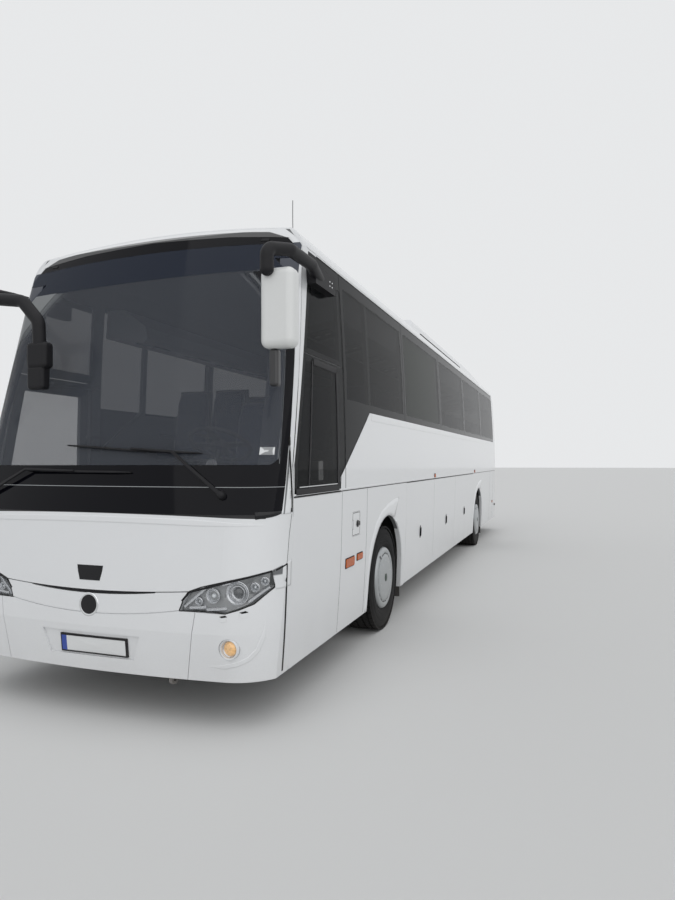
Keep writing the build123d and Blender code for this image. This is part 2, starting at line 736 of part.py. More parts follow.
def front_steps():
    """Treads and risers inside the front door, between two cheeks and an inner wall."""
    first, last = DOORS[0][1] + 20, DOORS[0][2] - 72
    depth = (STAIR_X - STEP_EDGE_X - STEP_PLATE) / len(STAIR_TREADS)
    top = PLATFORM_Z - PLATFORM_DEPTH - SEAT_GAP
    inner = STAIR_X - STEP_PLATE
    rows = [
        (inner, STAIR_X, first - STEP_PLATE, last + STEP_PLATE, STAIR_TREADS[-1] - TREAD_DEPTH, top),
        (CHEEK_X, inner, first - STEP_PLATE, first, BAY_FLOOR_Z, top),
        (CHEEK_X, inner, last, last + STEP_PLATE, BAY_FLOOR_Z, top),
    ]
    for index, height in enumerate(STAIR_TREADS):
        x0 = STEP_EDGE_X + index * depth
        x1 = min(x0 + depth + STEP_PLATE, inner)
        rows.append((x0, x1, first, last, height - TREAD_DEPTH, height))
        if index:
            riser_foot = STAIR_TREADS[index - 1] + SEAT_GAP
            rows.append((x0, x0 + STEP_PLATE, first, last, riser_foot, height - TREAD_DEPTH - SEAT_GAP))
    return panels(rows)


def mid_steps():
    """Steep steps inside the middle door, closed off from the luggage bay."""
    first, last = DOORS[1][1] + 20, DOORS[1][2] - 72
    depth = (MID_WELL_X - STEP_EDGE_X) / len(MID_TREADS)
    foot = BAY_FLOOR_Z + SEAT_GAP
    top = DECK_Z - DECK_DEPTH - SEAT_GAP
    rows = [
        (MID_WELL_X, MID_WELL_X + STEP_PLATE, first - STEP_PLATE, last + STEP_PLATE, foot, top),
        (CHEEK_X, MID_WELL_X, first - STEP_PLATE, first, foot, top),
        (CHEEK_X, MID_WELL_X, last, last + STEP_PLATE, foot, top),
    ]
    for index, height in enumerate(MID_TREADS):
        x0 = STEP_EDGE_X + index * depth
        rows.append((x0, x0 + depth, first, last, foot, height))
    return panels(rows)


def luggage_floor():
    """Bay floor, with bulkheads and side frames that stand on it up to the deck."""
    foot = BAY_FLOOR_Z + SEAT_GAP
    top = DECK_Z - DECK_DEPTH - SEAT_GAP
    half = SIDE_FRAME / 2
    rows = [
        (-REACH_X, REACH_X, BAY_START, BAY_END, BAY_FLOOR_Z - BAY_FLOOR_DEPTH, BAY_FLOOR_Z),
        (-REACH_X, REACH_X, BAY_START, BAY_START + BULKHEAD, foot, top),
        (-REACH_X, REACH_X, BAY_END - BULKHEAD, BAY_END, foot, top),
    ]
    for first, last in zip(FLAPS[:2], FLAPS[1:3]):
        station = (first[3] + last[2]) / 2
        rows.append((SIDE_FRAME_X, REACH_X, station - half, station + half, foot, top))
        rows.append((-REACH_X, -SIDE_FRAME_X, station - half, station + half, foot, top))
    return panels(rows)


def wheel_housings():
    """Open boxes round the wheels, below the deck."""
    pieces = []
    top = DECK_Z - DECK_DEPTH - SEAT_GAP
    for station in (0, WHEELBASE):
        for side in (1, -1):
            x0, x1 = sorted((side * (HOUSING_INNER_X - HOUSING_PLATE), side * HOUSING_INNER_X))
            box = block(x0, x1, station - HOUSING_HALF, station + HOUSING_HALF, HOUSING_FOOT_Z, top)
            far = side * REACH_X
            x0, x1 = sorted((side * (HOUSING_INNER_X - HOUSING_PLATE), far))
            for end in (-1, 1):
                s0 = station + end * HOUSING_HALF
                low, high = sorted((s0, s0 - end * HOUSING_PLATE))
                box += block(x0, x1, low, high, BAY_FLOOR_Z, top)
            box += block(x0, x1, station - HOUSING_HALF, station + HOUSING_HALF, top - HOUSING_PLATE, top)
            pieces += (box & seat_face).solids()
    return pieces


def chassis_frame():
    """Front and rear ladder frames that carry the axles and the engine."""
    pieces = []
    for s0, s1, cross in FRAME_RUNS:
        ladder = None
        for side in (1, -1):
            x0, x1 = sorted((side * RAIL_X, side * (RAIL_X + RAIL_WIDTH)))
            rail = block(x0, x1, s0, s1, RAIL_Z, RAIL_Z + RAIL_HEIGHT)
            ladder = rail if ladder is None else ladder + rail
        if s1 > WHEELBASE:
            ladder += rear_hangers()
        for station in cross:
            ladder += block(-RAIL_X, RAIL_X, station - 40, station + 40, RAIL_Z + 20, RAIL_Z + RAIL_HEIGHT - 20)
        pieces += ladder.solids()
    return pieces + front_beam().solids()


def rear_hangers():
    """Rail ends that reach the rear skin and drop to the bumper."""
    solid = None
    for side in (1, -1):
        low, high = sorted((side * RAIL_X, side * (RAIL_X + RAIL_WIDTH)))
        rail = block(low, high, 9600, 11000, RAIL_Z, RAIL_Z + RAIL_HEIGHT)
        rail += block(low, high, 9900, 11000, RAIL_Z - 220, RAIL_Z)
        solid = rail if solid is None else solid + rail
    return solid & seat_face


def front_beam():
    """Crash beam behind the bumper on two hangers, with the towing eye under it."""
    beam = block(-BEAM_HALF, BEAM_HALF, BEAM_STATION - 40, BEAM_STATION + 40, BUMPER_BEAM_Z - 50, BUMPER_BEAM_Z + 50)
    for side in (1, -1):
        low, high = sorted((side * (TOW_X - 30), side * (TOW_X + 30)))
        beam += block(low, high, BEAM_STATION - 40, BEAM_STATION + 40, BUMPER_BEAM_Z - 50, PLATFORM_Z - PLATFORM_DEPTH - SEAT_GAP)
    eye = disc(TOW_X - TOW_PLATE / 2, TOW_X + TOW_PLATE / 2, TOW_STATION, TOW_Z, TOW_BORE + 18)
    eye += block(TOW_X - TOW_PLATE / 2, TOW_X + TOW_PLATE / 2, TOW_STATION, BEAM_STATION, TOW_Z, BUMPER_BEAM_Z)
    return beam + eye - disc(TOW_X - 50, TOW_X + 50, TOW_STATION, TOW_Z, TOW_BORE)


def stub_block(x0, x1, s0, s1, z0, z1, side):
    low, high = sorted((side * x0, side * x1))
    return block(low, high, s0, s1, z0, z1)


def front_axle():
    """Dropped beam with an eye at each kingpin, and its air springs."""
    solid = block(-KINGPIN_X + 190, KINGPIN_X - 190, -60, 60, BEAM_Z - 70, BEAM_Z + 70)
    for side in (1, -1):
        eye = Pos(side * KINGPIN_X, place(0), TYRE_RADIUS) * Cylinder(EYE_RADIUS, EYE_HEIGHT)
        ring = [(KINGPIN_X - 200, BEAM_Z - 70), (KINGPIN_X - 200, BEAM_Z + 70), (KINGPIN_X - 95, TYRE_RADIUS + 45),
                (KINGPIN_X, TYRE_RADIUS + 45), (KINGPIN_X, TYRE_RADIUS - 45), (KINGPIN_X - 95, TYRE_RADIUS - 45)]
        ring = [(side * x, z) for x, z in ring]
        solid += front_prism(ring, -50, 50) + eye
        solid += Pos(side * SPRING_X, place(0), (BEAM_Z + RAIL_Z) / 2) * Cylinder(SPRING_RADIUS, RAIL_Z - BEAM_Z - 0.6)
    for side in (1, -1):
        bore = Pos(side * KINGPIN_X, place(0), TYRE_RADIUS) * Cylinder(KINGPIN_RADIUS + PIN_CLEARANCE, 400)
        solid -= bore
    return solid


def knuckle(side):
    """Fork round the axle eye with its kingpin, and the stub the wheel turns on."""
    half = EYE_HEIGHT / 2 + PIN_GAP
    centre = Pos(side * KINGPIN_X, place(0), TYRE_RADIUS)
    solid = centre * Cylinder(KINGPIN_RADIUS, EYE_HEIGHT + 2 * FORK_PLATE + 4 * PIN_GAP)
    for sign in (1, -1):
        ear_z = TYRE_RADIUS + sign * (half + FORK_PLATE / 2)
        ear = Pos(side * KINGPIN_X, place(0), ear_z) * Cylinder(EYE_RADIUS, FORK_PLATE)
        ear += stub_block(KINGPIN_X, FORK_FACE_X, -EYE_RADIUS, EYE_RADIUS, ear_z - FORK_PLATE / 2, ear_z + FORK_PLATE / 2, side)
        solid += ear
    tall = half + FORK_PLATE
    solid += stub_block(FORK_FACE_X - 28, FORK_FACE_X, -EYE_RADIUS, EYE_RADIUS, TYRE_RADIUS - tall, TYRE_RADIUS + tall, side)
    solid += disc(side * (FORK_FACE_X - 5), side * STUB_END_X, 0, TYRE_RADIUS, STUB_RADIUS)
    lever = stub_block(KINGPIN_X - 20, KINGPIN_X + 20, 0, STEER_LEVER, TYRE_RADIUS - tall, TYRE_RADIUS - half, side)
    return solid + lever


def rear_axle():
    """Axle housing with its differential, hubs' stubs, carriers and air springs."""
    solid = disc(-STUB_END_X, STUB_END_X, WHEELBASE, TYRE_RADIUS, STUB_RADIUS)
    solid += disc(-600, 600, WHEELBASE, TYRE_RADIUS, AXLE_TUBE_RADIUS)
    solid += Pos(0, place(WHEELBASE), TYRE_RADIUS) * Sphere(DIFF_RADIUS)
    solid += Pos(0, place(WHEELBASE + 200), TYRE_RADIUS) * Rot(90, 0, 0) * Cylinder(90, 400)
    for side in (1, -1):
        solid += stub_block(SPRING_X - 45, SPRING_X + 45, WHEELBASE - 420, WHEELBASE + 420, TYRE_RADIUS - 60, TYRE_RADIUS + 60, side)
        for shift in (-340, 340):
            foot = TYRE_RADIUS + 60
            spring = Cylinder(SPRING_RADIUS, RAIL_Z - foot - 0.6)
            solid += Pos(side * SPRING_X, place(WHEELBASE + shift), (foot + RAIL_Z) / 2) * spring
    return solid


def revolve_x(points, station):
    """Revolve a ring of (x, radius) points round the wheel's axis."""
    ring = [(x, place(station), TYRE_RADIUS + r) for x, r in points]
    return revolve(filled(ring), axis=Axis((0, place(station), TYRE_RADIUS), (1, 0, 0)))


def tyre(outer_x, station, side):
    """Tyre with a flat tread, rounded shoulders and a beaded foot."""
    w = TYRE_WIDTH
    profile = [(0.16, RIM_RADIUS), (0.03, RIM_RADIUS + 55), (0.0, RIM_RADIUS + 120), (0.06, TYRE_RADIUS - 18), (0.13, TYRE_RADIUS)]
    right = [(outer_x - t * w, r) for t, r in profile]
    left = [(outer_x - w + t * w, r) for t, r in reversed(profile)]
    inner_edge = [(outer_x - w * 0.84 + 10, RIM_RADIUS + 18), (outer_x - w * 0.16 - 10, RIM_RADIUS + 18)]
    ring = [(side * x, r) for x, r in right + left + inner_edge]
    return revolve_x(ring, station)


def rim(outer_x, station, side):
    """Rim barrel that the tyre sits on."""
    w = TYRE_WIDTH
    g = SEAT_GAP
    a = outer_x - 0.16 * w - 10 - g
    b = outer_x - 0.84 * w + 10 + g
    outer_ring = [
        (outer_x - 0.16 * w + 4, RIM_RADIUS - g), (a, RIM_RADIUS - g), (a, RIM_RADIUS + 18 - g), (b, RIM_RADIUS + 18 - g),
        (b, RIM_RADIUS - g), (outer_x - 0.84 * w - 4, RIM_RADIUS - g), (outer_x - 0.84 * w - 4, RIM_RADIUS - 24),
        (outer_x - 0.16 * w + 4, RIM_RADIUS - 24)]
    return revolve_x([(side * x, r) for x, r in outer_ring], station)


def wheel_cover(side, station):
    """Flat round cover with a turned-in lip, just outside the tyre's bead."""
    profile = [
        (COVER_X - 6, 0), (COVER_X, 60), (COVER_X - 2, COVER_RADIUS - 45), (COVER_X - 8, COVER_RADIUS - 8),
        (COVER_X - 16, COVER_RADIUS - 14), (COVER_X - 24, COVER_RADIUS - 60), (COVER_X - 24, 0)]
    return revolve_x([(side * x, r) for x, r in profile], station)


def front_wheel(side):
    """Rim, disc, hub and the flat round cover of a front wheel."""
    solid = rim(TYRE_OUTER_X, 0, side)
    solid += wheel_cover(side, 0)
    web = [(DISC_X, STUB_RADIUS + 30), (DISC_X, RIM_RADIUS - 20), (DISC_X - 14, RIM_RADIUS - 20), (DISC_X - 14, STUB_RADIUS + 30)]
    solid += revolve_x([(side * x, r) for x, r in web], 0)
    hub = disc(side * (FORK_FACE_X + 8), side * (COVER_X - 10), 0, TYRE_RADIUS, HUB_RADIUS)
    solid += hub
    return solid - disc(side * 0.1, side * (STUB_END_X + 1), 0, TYRE_RADIUS, STUB_RADIUS + PIN_CLEARANCE)


def rear_wheels(side):
    """Both rims of a twin wheel on one hub, with a flat outer cover."""
    solid = rim(TYRE_OUTER_X, WHEELBASE, side) + rim(TYRE_OUTER_X - TWIN_PITCH, WHEELBASE, side)
    solid += wheel_cover(side, WHEELBASE)
    middle = TYRE_OUTER_X - TYRE_WIDTH / 2 - TWIN_PITCH / 2
    for shift in (-12, 12):
        edge = middle + shift
        toward = shift / 12
        web = [(edge - 7, HUB_RADIUS - 20), (edge + toward * 60 - 7, RIM_RADIUS - 15), (edge + toward * 60 + 7, RIM_RADIUS - 15), (edge + 7, HUB_RADIUS - 20)]
        solid += revolve_x([(side * x, r) for x, r in web], WHEELBASE)
    solid += disc(side * 640, side * (COVER_X - 10), WHEELBASE, TYRE_RADIUS, HUB_RADIUS)
    return solid - disc(side * 0.1, side * (STUB_END_X + 1), WHEELBASE, TYRE_RADIUS, STUB_RADIUS + PIN_CLEARANCE)


def link_points(pivot, arm, out, elbow):
    """Rest places of an arm's elbow and tip, given in the open pose.

    The plane has its first axis outwards and its second along the travel. The tip
    starts straight behind the pivot and ends the distance out, ahead of it.
    """
    ahead = sqrt(arm**2 - out**2)
    swing = radians(90) + atan2(ahead, out)
    c, s = cos(-swing), sin(-swing)
    rest_elbow = (pivot[0] + c * elbow[0] - s * elbow[1], pivot[1] + s * elbow[0] + c * elbow[1])
    return rest_elbow, (pivot[0], pivot[1] - arm), degrees(swing), arm + ahead


def strap(points, width):
    """Flat face of a bent strap: rounded at its ends and at its elbow."""
    face = None
    for a, b in zip(points, points[1:]):
        length = hypot(b[0] - a[0], b[1] - a[1])
        angle = degrees(atan2(b[1] - a[1], b[0] - a[0]))
        middle = ((a[0] + b[0]) / 2, (a[1] + b[1]) / 2)
        bar = Pos(*middle) * Rot(0, 0, angle) * Rectangle(length, width)
        bar += Pos(*a) * Circle(width / 2) + Pos(*b) * Circle(width / 2)
        face = bar if face is None else face + bar
    return face


def flap_linkage(name, side, first, last):
    """A luggage flap, the pair of bent arms that lift it, and its pin lugs."""
    elbow, tip, swing, rise = link_points(FLAP_PIVOT, FLAP_ARM, FLAP_OUT, (FLAP_OUT, -FLAP_ELBOW_DROP))
    plate = extrude(strap([FLAP_PIVOT, elbow, tip], ARM_WIDTH), amount=ARM_PLATE / 2, both=True)
    upright = Plane(origin=(0, 0, 0), x_dir=(1, 0, 0), z_dir=(0, -1, 0))
    plate = upright * plate
    flap = (outer - flap_back) & side_block(first, last, FLAP_BOTTOM_Z, FLAP_TOP_Z)
    arms = None
    for station in (first + ARM_INSET, last - ARM_INSET):
        arm = Pos(0, place(station), 0) * plate
        arm += Pos(tip[0], place(station), tip[1]) * Rot(90, 0, 0) * Cylinder(EYE_PIN_RADIUS, ARM_PLATE + 2 * LUG_PLATE + 8)
        arms = arm if arms is None else arms + arm
        for shift in (-1, 1):
            y = place(station) + shift * (ARM_PLATE / 2 + LUG_GAP + LUG_PLATE / 2)
            lug = Pos(tip[0], y, tip[1]) * Rot(90, 0, 0) * Cylinder(LUG_RADIUS, LUG_PLATE)
            lug += Pos(tip[0] + 50, y, tip[1]) * Box(100, LUG_PLATE, 2 * LUG_RADIUS)
            lug &= glass_back
            lug -= Pos(tip[0], y, tip[1]) * Rot(90, 0, 0) * Cylinder(EYE_PIN_RADIUS + PIN_CLEARANCE, 100)
            flap += lug
    middle = (first + last) / 2
    tube = Pos(FLAP_PIVOT[0], place(middle), FLAP_PIVOT[1]) * Rot(90, 0, 0) * Cylinder(TUBE_RADIUS, last - first - 2 * ARM_INSET + 100)
    arms += tube
    if side < 0:
        flap, arms = flap.mirror(Plane.YZ), arms.mirror(Plane.YZ)
    return flap, arms


def flap_brackets():
    """Hangers under the deck edge that hold the arm tubes of the luggage flaps."""
    pieces = []
    top = DECK_Z - DECK_DEPTH - SEAT_GAP
    for name, side, first, last in FLAPS:
        for station in (first + ARM_INSET + 30, last - ARM_INSET - 30):
            x0, x1 = sorted((side * (FLAP_PIVOT[0] - 26), side * (FLAP_PIVOT[0] + 26)))
            hanger = block(x0, x1, station - 6, station + 6, FLAP_PIVOT[1] - 26, top)
            bore = Pos(side * FLAP_PIVOT[0], place(station), FLAP_PIVOT[1]) * Rot(90, 0, 0)
            pieces.append(hanger - bore * Cylinder(TUBE_RADIUS + PIN_CLEARANCE, 100))
    return pieces


def door_bearings():
    """Brackets on the wall behind each doorway that hold the pillar of its arms."""
    pieces = []
    for name, front, rear, sill, head in DOORS:
        pivot = rear - DOOR_PILLAR_INSET
        for z in DOOR_BEARING_HEIGHTS:
            bracket = block(-DOOR_PILLAR_X - 26, -DOOR_PILLAR_X + 26, pivot - 26, rear + 60, z - 15, z + 15)
            bracket += block(-REACH_X, -DOOR_PILLAR_X, rear + 14, rear + 60, z - 15, z + 15)
            bore = Pos(-DOOR_PILLAR_X, place(pivot), z) * Cylinder(TUBE_RADIUS + PIN_CLEARANCE, 100)
            pieces.append((bracket & seat_face) - bore)
    return pieces


def door_linkage(door):
    """An outward-swinging door leaf, its glass and the pillar with two bent arms."""
    name, front, rear, sill, head = door
    pivot = (DOOR_PILLAR_X, rear - DOOR_PILLAR_INSET)
    elbow, tip, swing, travel = link_points(pivot, DOOR_ARM, DOOR_OUT, (DOOR_OUT, DOOR_ELBOW_SHIFT))
    ring = [(x, place(s)) for x, s in (pivot, elbow, tip)]
    plate = extrude(strap(ring, ARM_WIDTH), amount=ARM_PLATE / 2, both=True)
    leaf = (outer - door_back) & side_prism(door_ring(door, 0, sill, head))
    foot, brow, edge = DOOR_GLASS
    low, high = sill + foot, head - brow
    leaf -= side_prism(door_ring(door, edge - 3, low - 3, high + 3)) - behind_glass
    leaf -= side_prism(door_ring(door, edge + 40, low + 40, high - 40))
    pane = glass_skin & side_prism(door_ring(door, edge, low, high))
    tall = DOOR_ARM_HEIGHTS[1] - DOOR_ARM_HEIGHTS[0] + 140
    arms = Pos(pivot[0], place(pivot[1]), sum(DOOR_ARM_HEIGHTS) / 2) * Cylinder(TUBE_RADIUS, tall)
    for z in DOOR_ARM_HEIGHTS:
        arms += Pos(0, 0, z) * plate
        arms += Pos(tip[0], place(tip[1]), z) * Cylinder(EYE_PIN_RADIUS, ARM_PLATE + 2 * LUG_PLATE + 8)
        for shift in (-1, 1):
            height = z + shift * (ARM_PLATE / 2 + LUG_GAP + LUG_PLATE / 2)
            lug = Pos(tip[0], place(tip[1]), height) * Cylinder(LUG_RADIUS, LUG_PLATE)
            lug += Pos(tip[0] + 50, place(tip[1]), height) * Box(100, 2 * LUG_RADIUS, LUG_PLATE)
            lug &= glass_back
            lug -= Pos(tip[0], place(tip[1]), height) * Cylinder(EYE_PIN_RADIUS + PIN_CLEARANCE, 100)
            leaf += lug
    return [shape.mirror(Plane.YZ) for shape in (leaf, pane, arms)]


def seat(x, station, floor_z, width):
    """Cushion, leaning back and stand of one seat or of a pair side by side."""
    pieces = []
    for ring in (SEAT_CUSHION, SEAT_BACK):
        side = [(station - ahead, floor_z + z) for ahead, z in ring]
        pieces.append(side_prism(side, x - width / 2, x + width / 2))
    half, front, rear, top = SEAT_STAND
    pieces.append(block(x - half, x + half, station + front, station + rear, floor_z, floor_z + top))
    return pieces


def seats():
    """Paired seats on both sides of the aisle and the driver's seat."""
    pieces = seat(DRIVER_X, DRIVER_STATION, PLATFORM_Z, SINGLE_WIDTH)
    name, door_front, door_rear, sill, head = DOORS[1]
    for row in range(SEAT_ROWS):
        station = SEAT_FIRST + row * SEAT_PITCH
        pieces += seat(SEAT_X, station, DECK_Z, PAIR_WIDTH)
        if not door_front - 500 < station < door_rear + 500:
            pieces += seat(-SEAT_X, station, DECK_Z, PAIR_WIDTH)
    return pieces


def parcel_racks():
    pieces = []
    for side in (1, -1):
        ring = [(side * 720, RACK_Z + 40), (side * 760, RACK_Z), (side * 1060, RACK_Z + 60), (side * 1400, RACK_Z + 70),
                (side * 1400, RACK_Z + 330), (side * 1000, RACK_Z + 330), (side * 740, RACK_Z + 150)]
        rack = front_prism(ring, RACK_START, RACK_END)
        pieces += (rack & seat_face).solids()
    return pieces


def on_column(shape):
    """Place a shape made round the steering column's axis."""
    return Pos(DRIVER_X, place(WHEEL_STATION), WHEEL_Z) * Rot(WHEEL_TILT, 0, 0) * shape


def dashboard():
    """Curved desk under the windscreen, a binnacle and the steering column's housing."""
    top = DASH_TOP_Z
    desk = side_prism(
        [(-2780, PLATFORM_Z + SEAT_GAP), (-2780, top - 30), (-2560, top), (-2300, top - 10), (-2150, top - 130),
         (-2240, top - 260), (-2270, PLATFORM_Z + SEAT_GAP)], DASH_X[0], DASH_X[1])
    hood = side_prism(
        [(-2320, top - 60), (-2440, top + 90), (-2240, top + 70), (-2160, top - 110)], DRIVER_X - 330, DRIVER_X + 330)
    housing = Pos(0, 0, -COLUMN_LENGTH + 120) * Cylinder(COLUMN_HOUSING, 300)
    bore = Pos(0, 0, -COLUMN_LENGTH / 2) * Cylinder(COLUMN_RADIUS + PIN_CLEARANCE, COLUMN_LENGTH + 80)
    return ((desk + hood) & seat_face) + on_column(housing) - on_column(bore)


def steering_wheel():
    """Rim, spokes, boss and shaft of the steering wheel, raked toward the driver."""
    ring = Torus(WHEEL_RING, WHEEL_GRIP)
    spokes = Box(2 * WHEEL_RING, 50, 16) + Pos(0, -WHEEL_RING / 2, 0) * Box(50, WHEEL_RING, 16)
    boss = Pos(0, 0, -20) * Cylinder(70, 60)
    shaft = Pos(0, 0, -COLUMN_LENGTH / 2) * Cylinder(COLUMN_RADIUS, COLUMN_LENGTH)
    return on_column(ring + spokes + boss + shaft)


def mirror_sweep(points, radius, bend, side=1):
    path = FilletPolyline(*[(side * x, place(s), z) for x, s, z in points], radius=bend)
    start = Plane(origin=path @ 0, z_dir=path % 0)
    return sweep(start * Circle(radius), path=path)


def rounded_box(centre, size, rounding):
    box = Box(*size)
    box = fillet(box.edges(), rounding)
    return Pos(centre[0], place(centre[1]), centre[2]) * box


def mirror_arm(side, gap):
    """Arm that hooks over the head and ends round on its face, grown by the gap."""
    x, s, z = MIRROR_ARM[-1]
    radius = MIRROR_TUBE + gap
    return mirror_sweep(MIRROR_ARM, radius, MIRROR_BEND, side) + Pos(side * x, place(s), z) * Sphere(radius)


def mirrors():
    """Swan-neck arms and the heads they carry, with a front-view head on the passenger side."""
    arms, heads = [], []
    for side in (1, -1):
        arm = mirror_arm(side, 0)
        front, rear, low, high = MIRROR_FOOT
        arm += side_block(front, rear, low, high, 1180, REACH_X, side)
        if side < 0:
            arm += mirror_sweep(BRANCH, BRANCH_TUBE, 90)
            arm += rounded_box(FRONT_MIRROR, FRONT_MIRROR_SIZE, 30)
            arm += rounded_box(FRONT_MIRROR_FOOT, FRONT_MIRROR_FOOT_SIZE, 26)
        arms.append(arm - envelope(-SEAT_GAP))
        room = mirror_arm(side, SEAT_GAP)
        for (x, s, z), size, share in ((MIRROR_HEAD, MIRROR_HEAD_SIZE, 0.36), (LOW_MIRROR, LOW_MIRROR_SIZE, 0.3)):
            heads.append(rounded_box((side * x, s, z), size, size[1] * share) - room)
    return arms, heads


def keep(name, shape):
    """Write one sub-part: its solids, without slivers that the cuts leave."""
    solids = shape if isinstance(shape, list) else shape.solids()
    solids = [s for piece in solids for s in piece.solids() if s.volume > SLIVER]
    whole = solids[0] if len(solids) == 1 else Compound(children=solids)
    export_step(whole, "parts/" + name + ".step")


os.makedirs("parts", exist_ok=True)

# Side walls, the service flap and the side glass
s0, s1, z0, z1 = SERVICE_FLAP
service_leaf = (outer - envelope(SERVICE_THICKNESS)) & side_block(s0, s1, z0, z1)
left_wall, service_leaf = hinged(wall(1), service_leaf, service_hinge())
keep("left_wall", left_wall)
keep("right_wall", wall(-1))
keep("service_flap", service_leaf)
keep("left_glass", side_glass(1))
keep("right_glass", side_glass(-1))

# Front: mask, windscreen, bumper and lamps
mask, below_mask = front_panel()
keep("front_panel", mask)
keep("windscreen", glass_skin & windscreen_zone(0))
keep("front_bumper", front_bumper(below_mask))
keep("front_lamps", front_lamps())

# Roof and rear
keep("roof", roof_parts())
keep("roof_unit", roof_unit())
rear_skin, lid = hinged(rear_panel(), engine_lid(), lid_hinges())
keep("rear_panel", rear_skin)
keep("engine_lid", lid)
keep("rear_bumper", rear_bumper())
half, low, high = REAR_WINDOW
keep("rear_window", glass_skin & block(-half, half, REAR_SEAM + REAR_SIDE, REACH_S, low, high))
keep("rear_lamps", [((outer - envelope(WALL)) & lamp_bed(sign, 0)) for sign in (1, -1)])

# Floors and frames
keep("passenger_floor", floors())
keep("door_steps", front_steps() + mid_steps())
keep("luggage_floor", luggage_floor())
keep("wheel_housings", wheel_housings())
keep("chassis_frame", chassis_frame())
keep("hinge_brackets", flap_brackets() + door_bearings())

# Axles, knuckles and wheels
keep("front_axle", front_axle())
keep("rear_axle", rear_axle())
for name, side in (("left", 1), ("right", -1)):
    keep("knuckle_" + name, knuckle(side))
    keep("front_wheel_" + name, front_wheel(side))
    keep("front_tyre_" + name, tyre(TYRE_OUTER_X, 0, side))
    keep("rear_wheels_" + name, rear_wheels(side))
    keep("rear_tyres_" + name, [tyre(TYRE_OUTER_X - shift, WHEELBASE, side) for shift in (0, TWIN_PITCH)])

# Luggage flaps and passenger doors
for name, side, first, last in FLAPS:
    flap, arms = flap_linkage(name, side, first, last)
    keep(name, flap)
    keep(name.replace("flap", "arms"), arms)
for door in DOORS:
    leaf, pane, arms = door_linkage(door)
    keep(door[0] + "_leaf", leaf)
    keep(door[0] + "_glass", pane)
    keep(door[0] + "_arms", arms)

# Engine, interior and mirrors
keep("engine", block(*ENGINE_BLOCK))
keep("seats", seats())
keep("parcel_racks", parcel_racks())
keep("dashboard", dashboard())
keep("steering_wheel", steering_wheel())
mirror_arms, mirror_heads = mirrors()
keep("mirror_arms", mirror_arms)
keep("mirror_heads", mirror_heads)
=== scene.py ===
# %% [markdown]
# # Dressing a white touring coach
# The coach's hard parts come from a CAD model, and they stay where that model puts them. This lesson adds
# what the eye meets on the real vehicle: paint, glass, rubber, lamps, wipers, seats and trim. Each step
# first says what the piece is on the real coach, how it could be made, and why one way was picked.

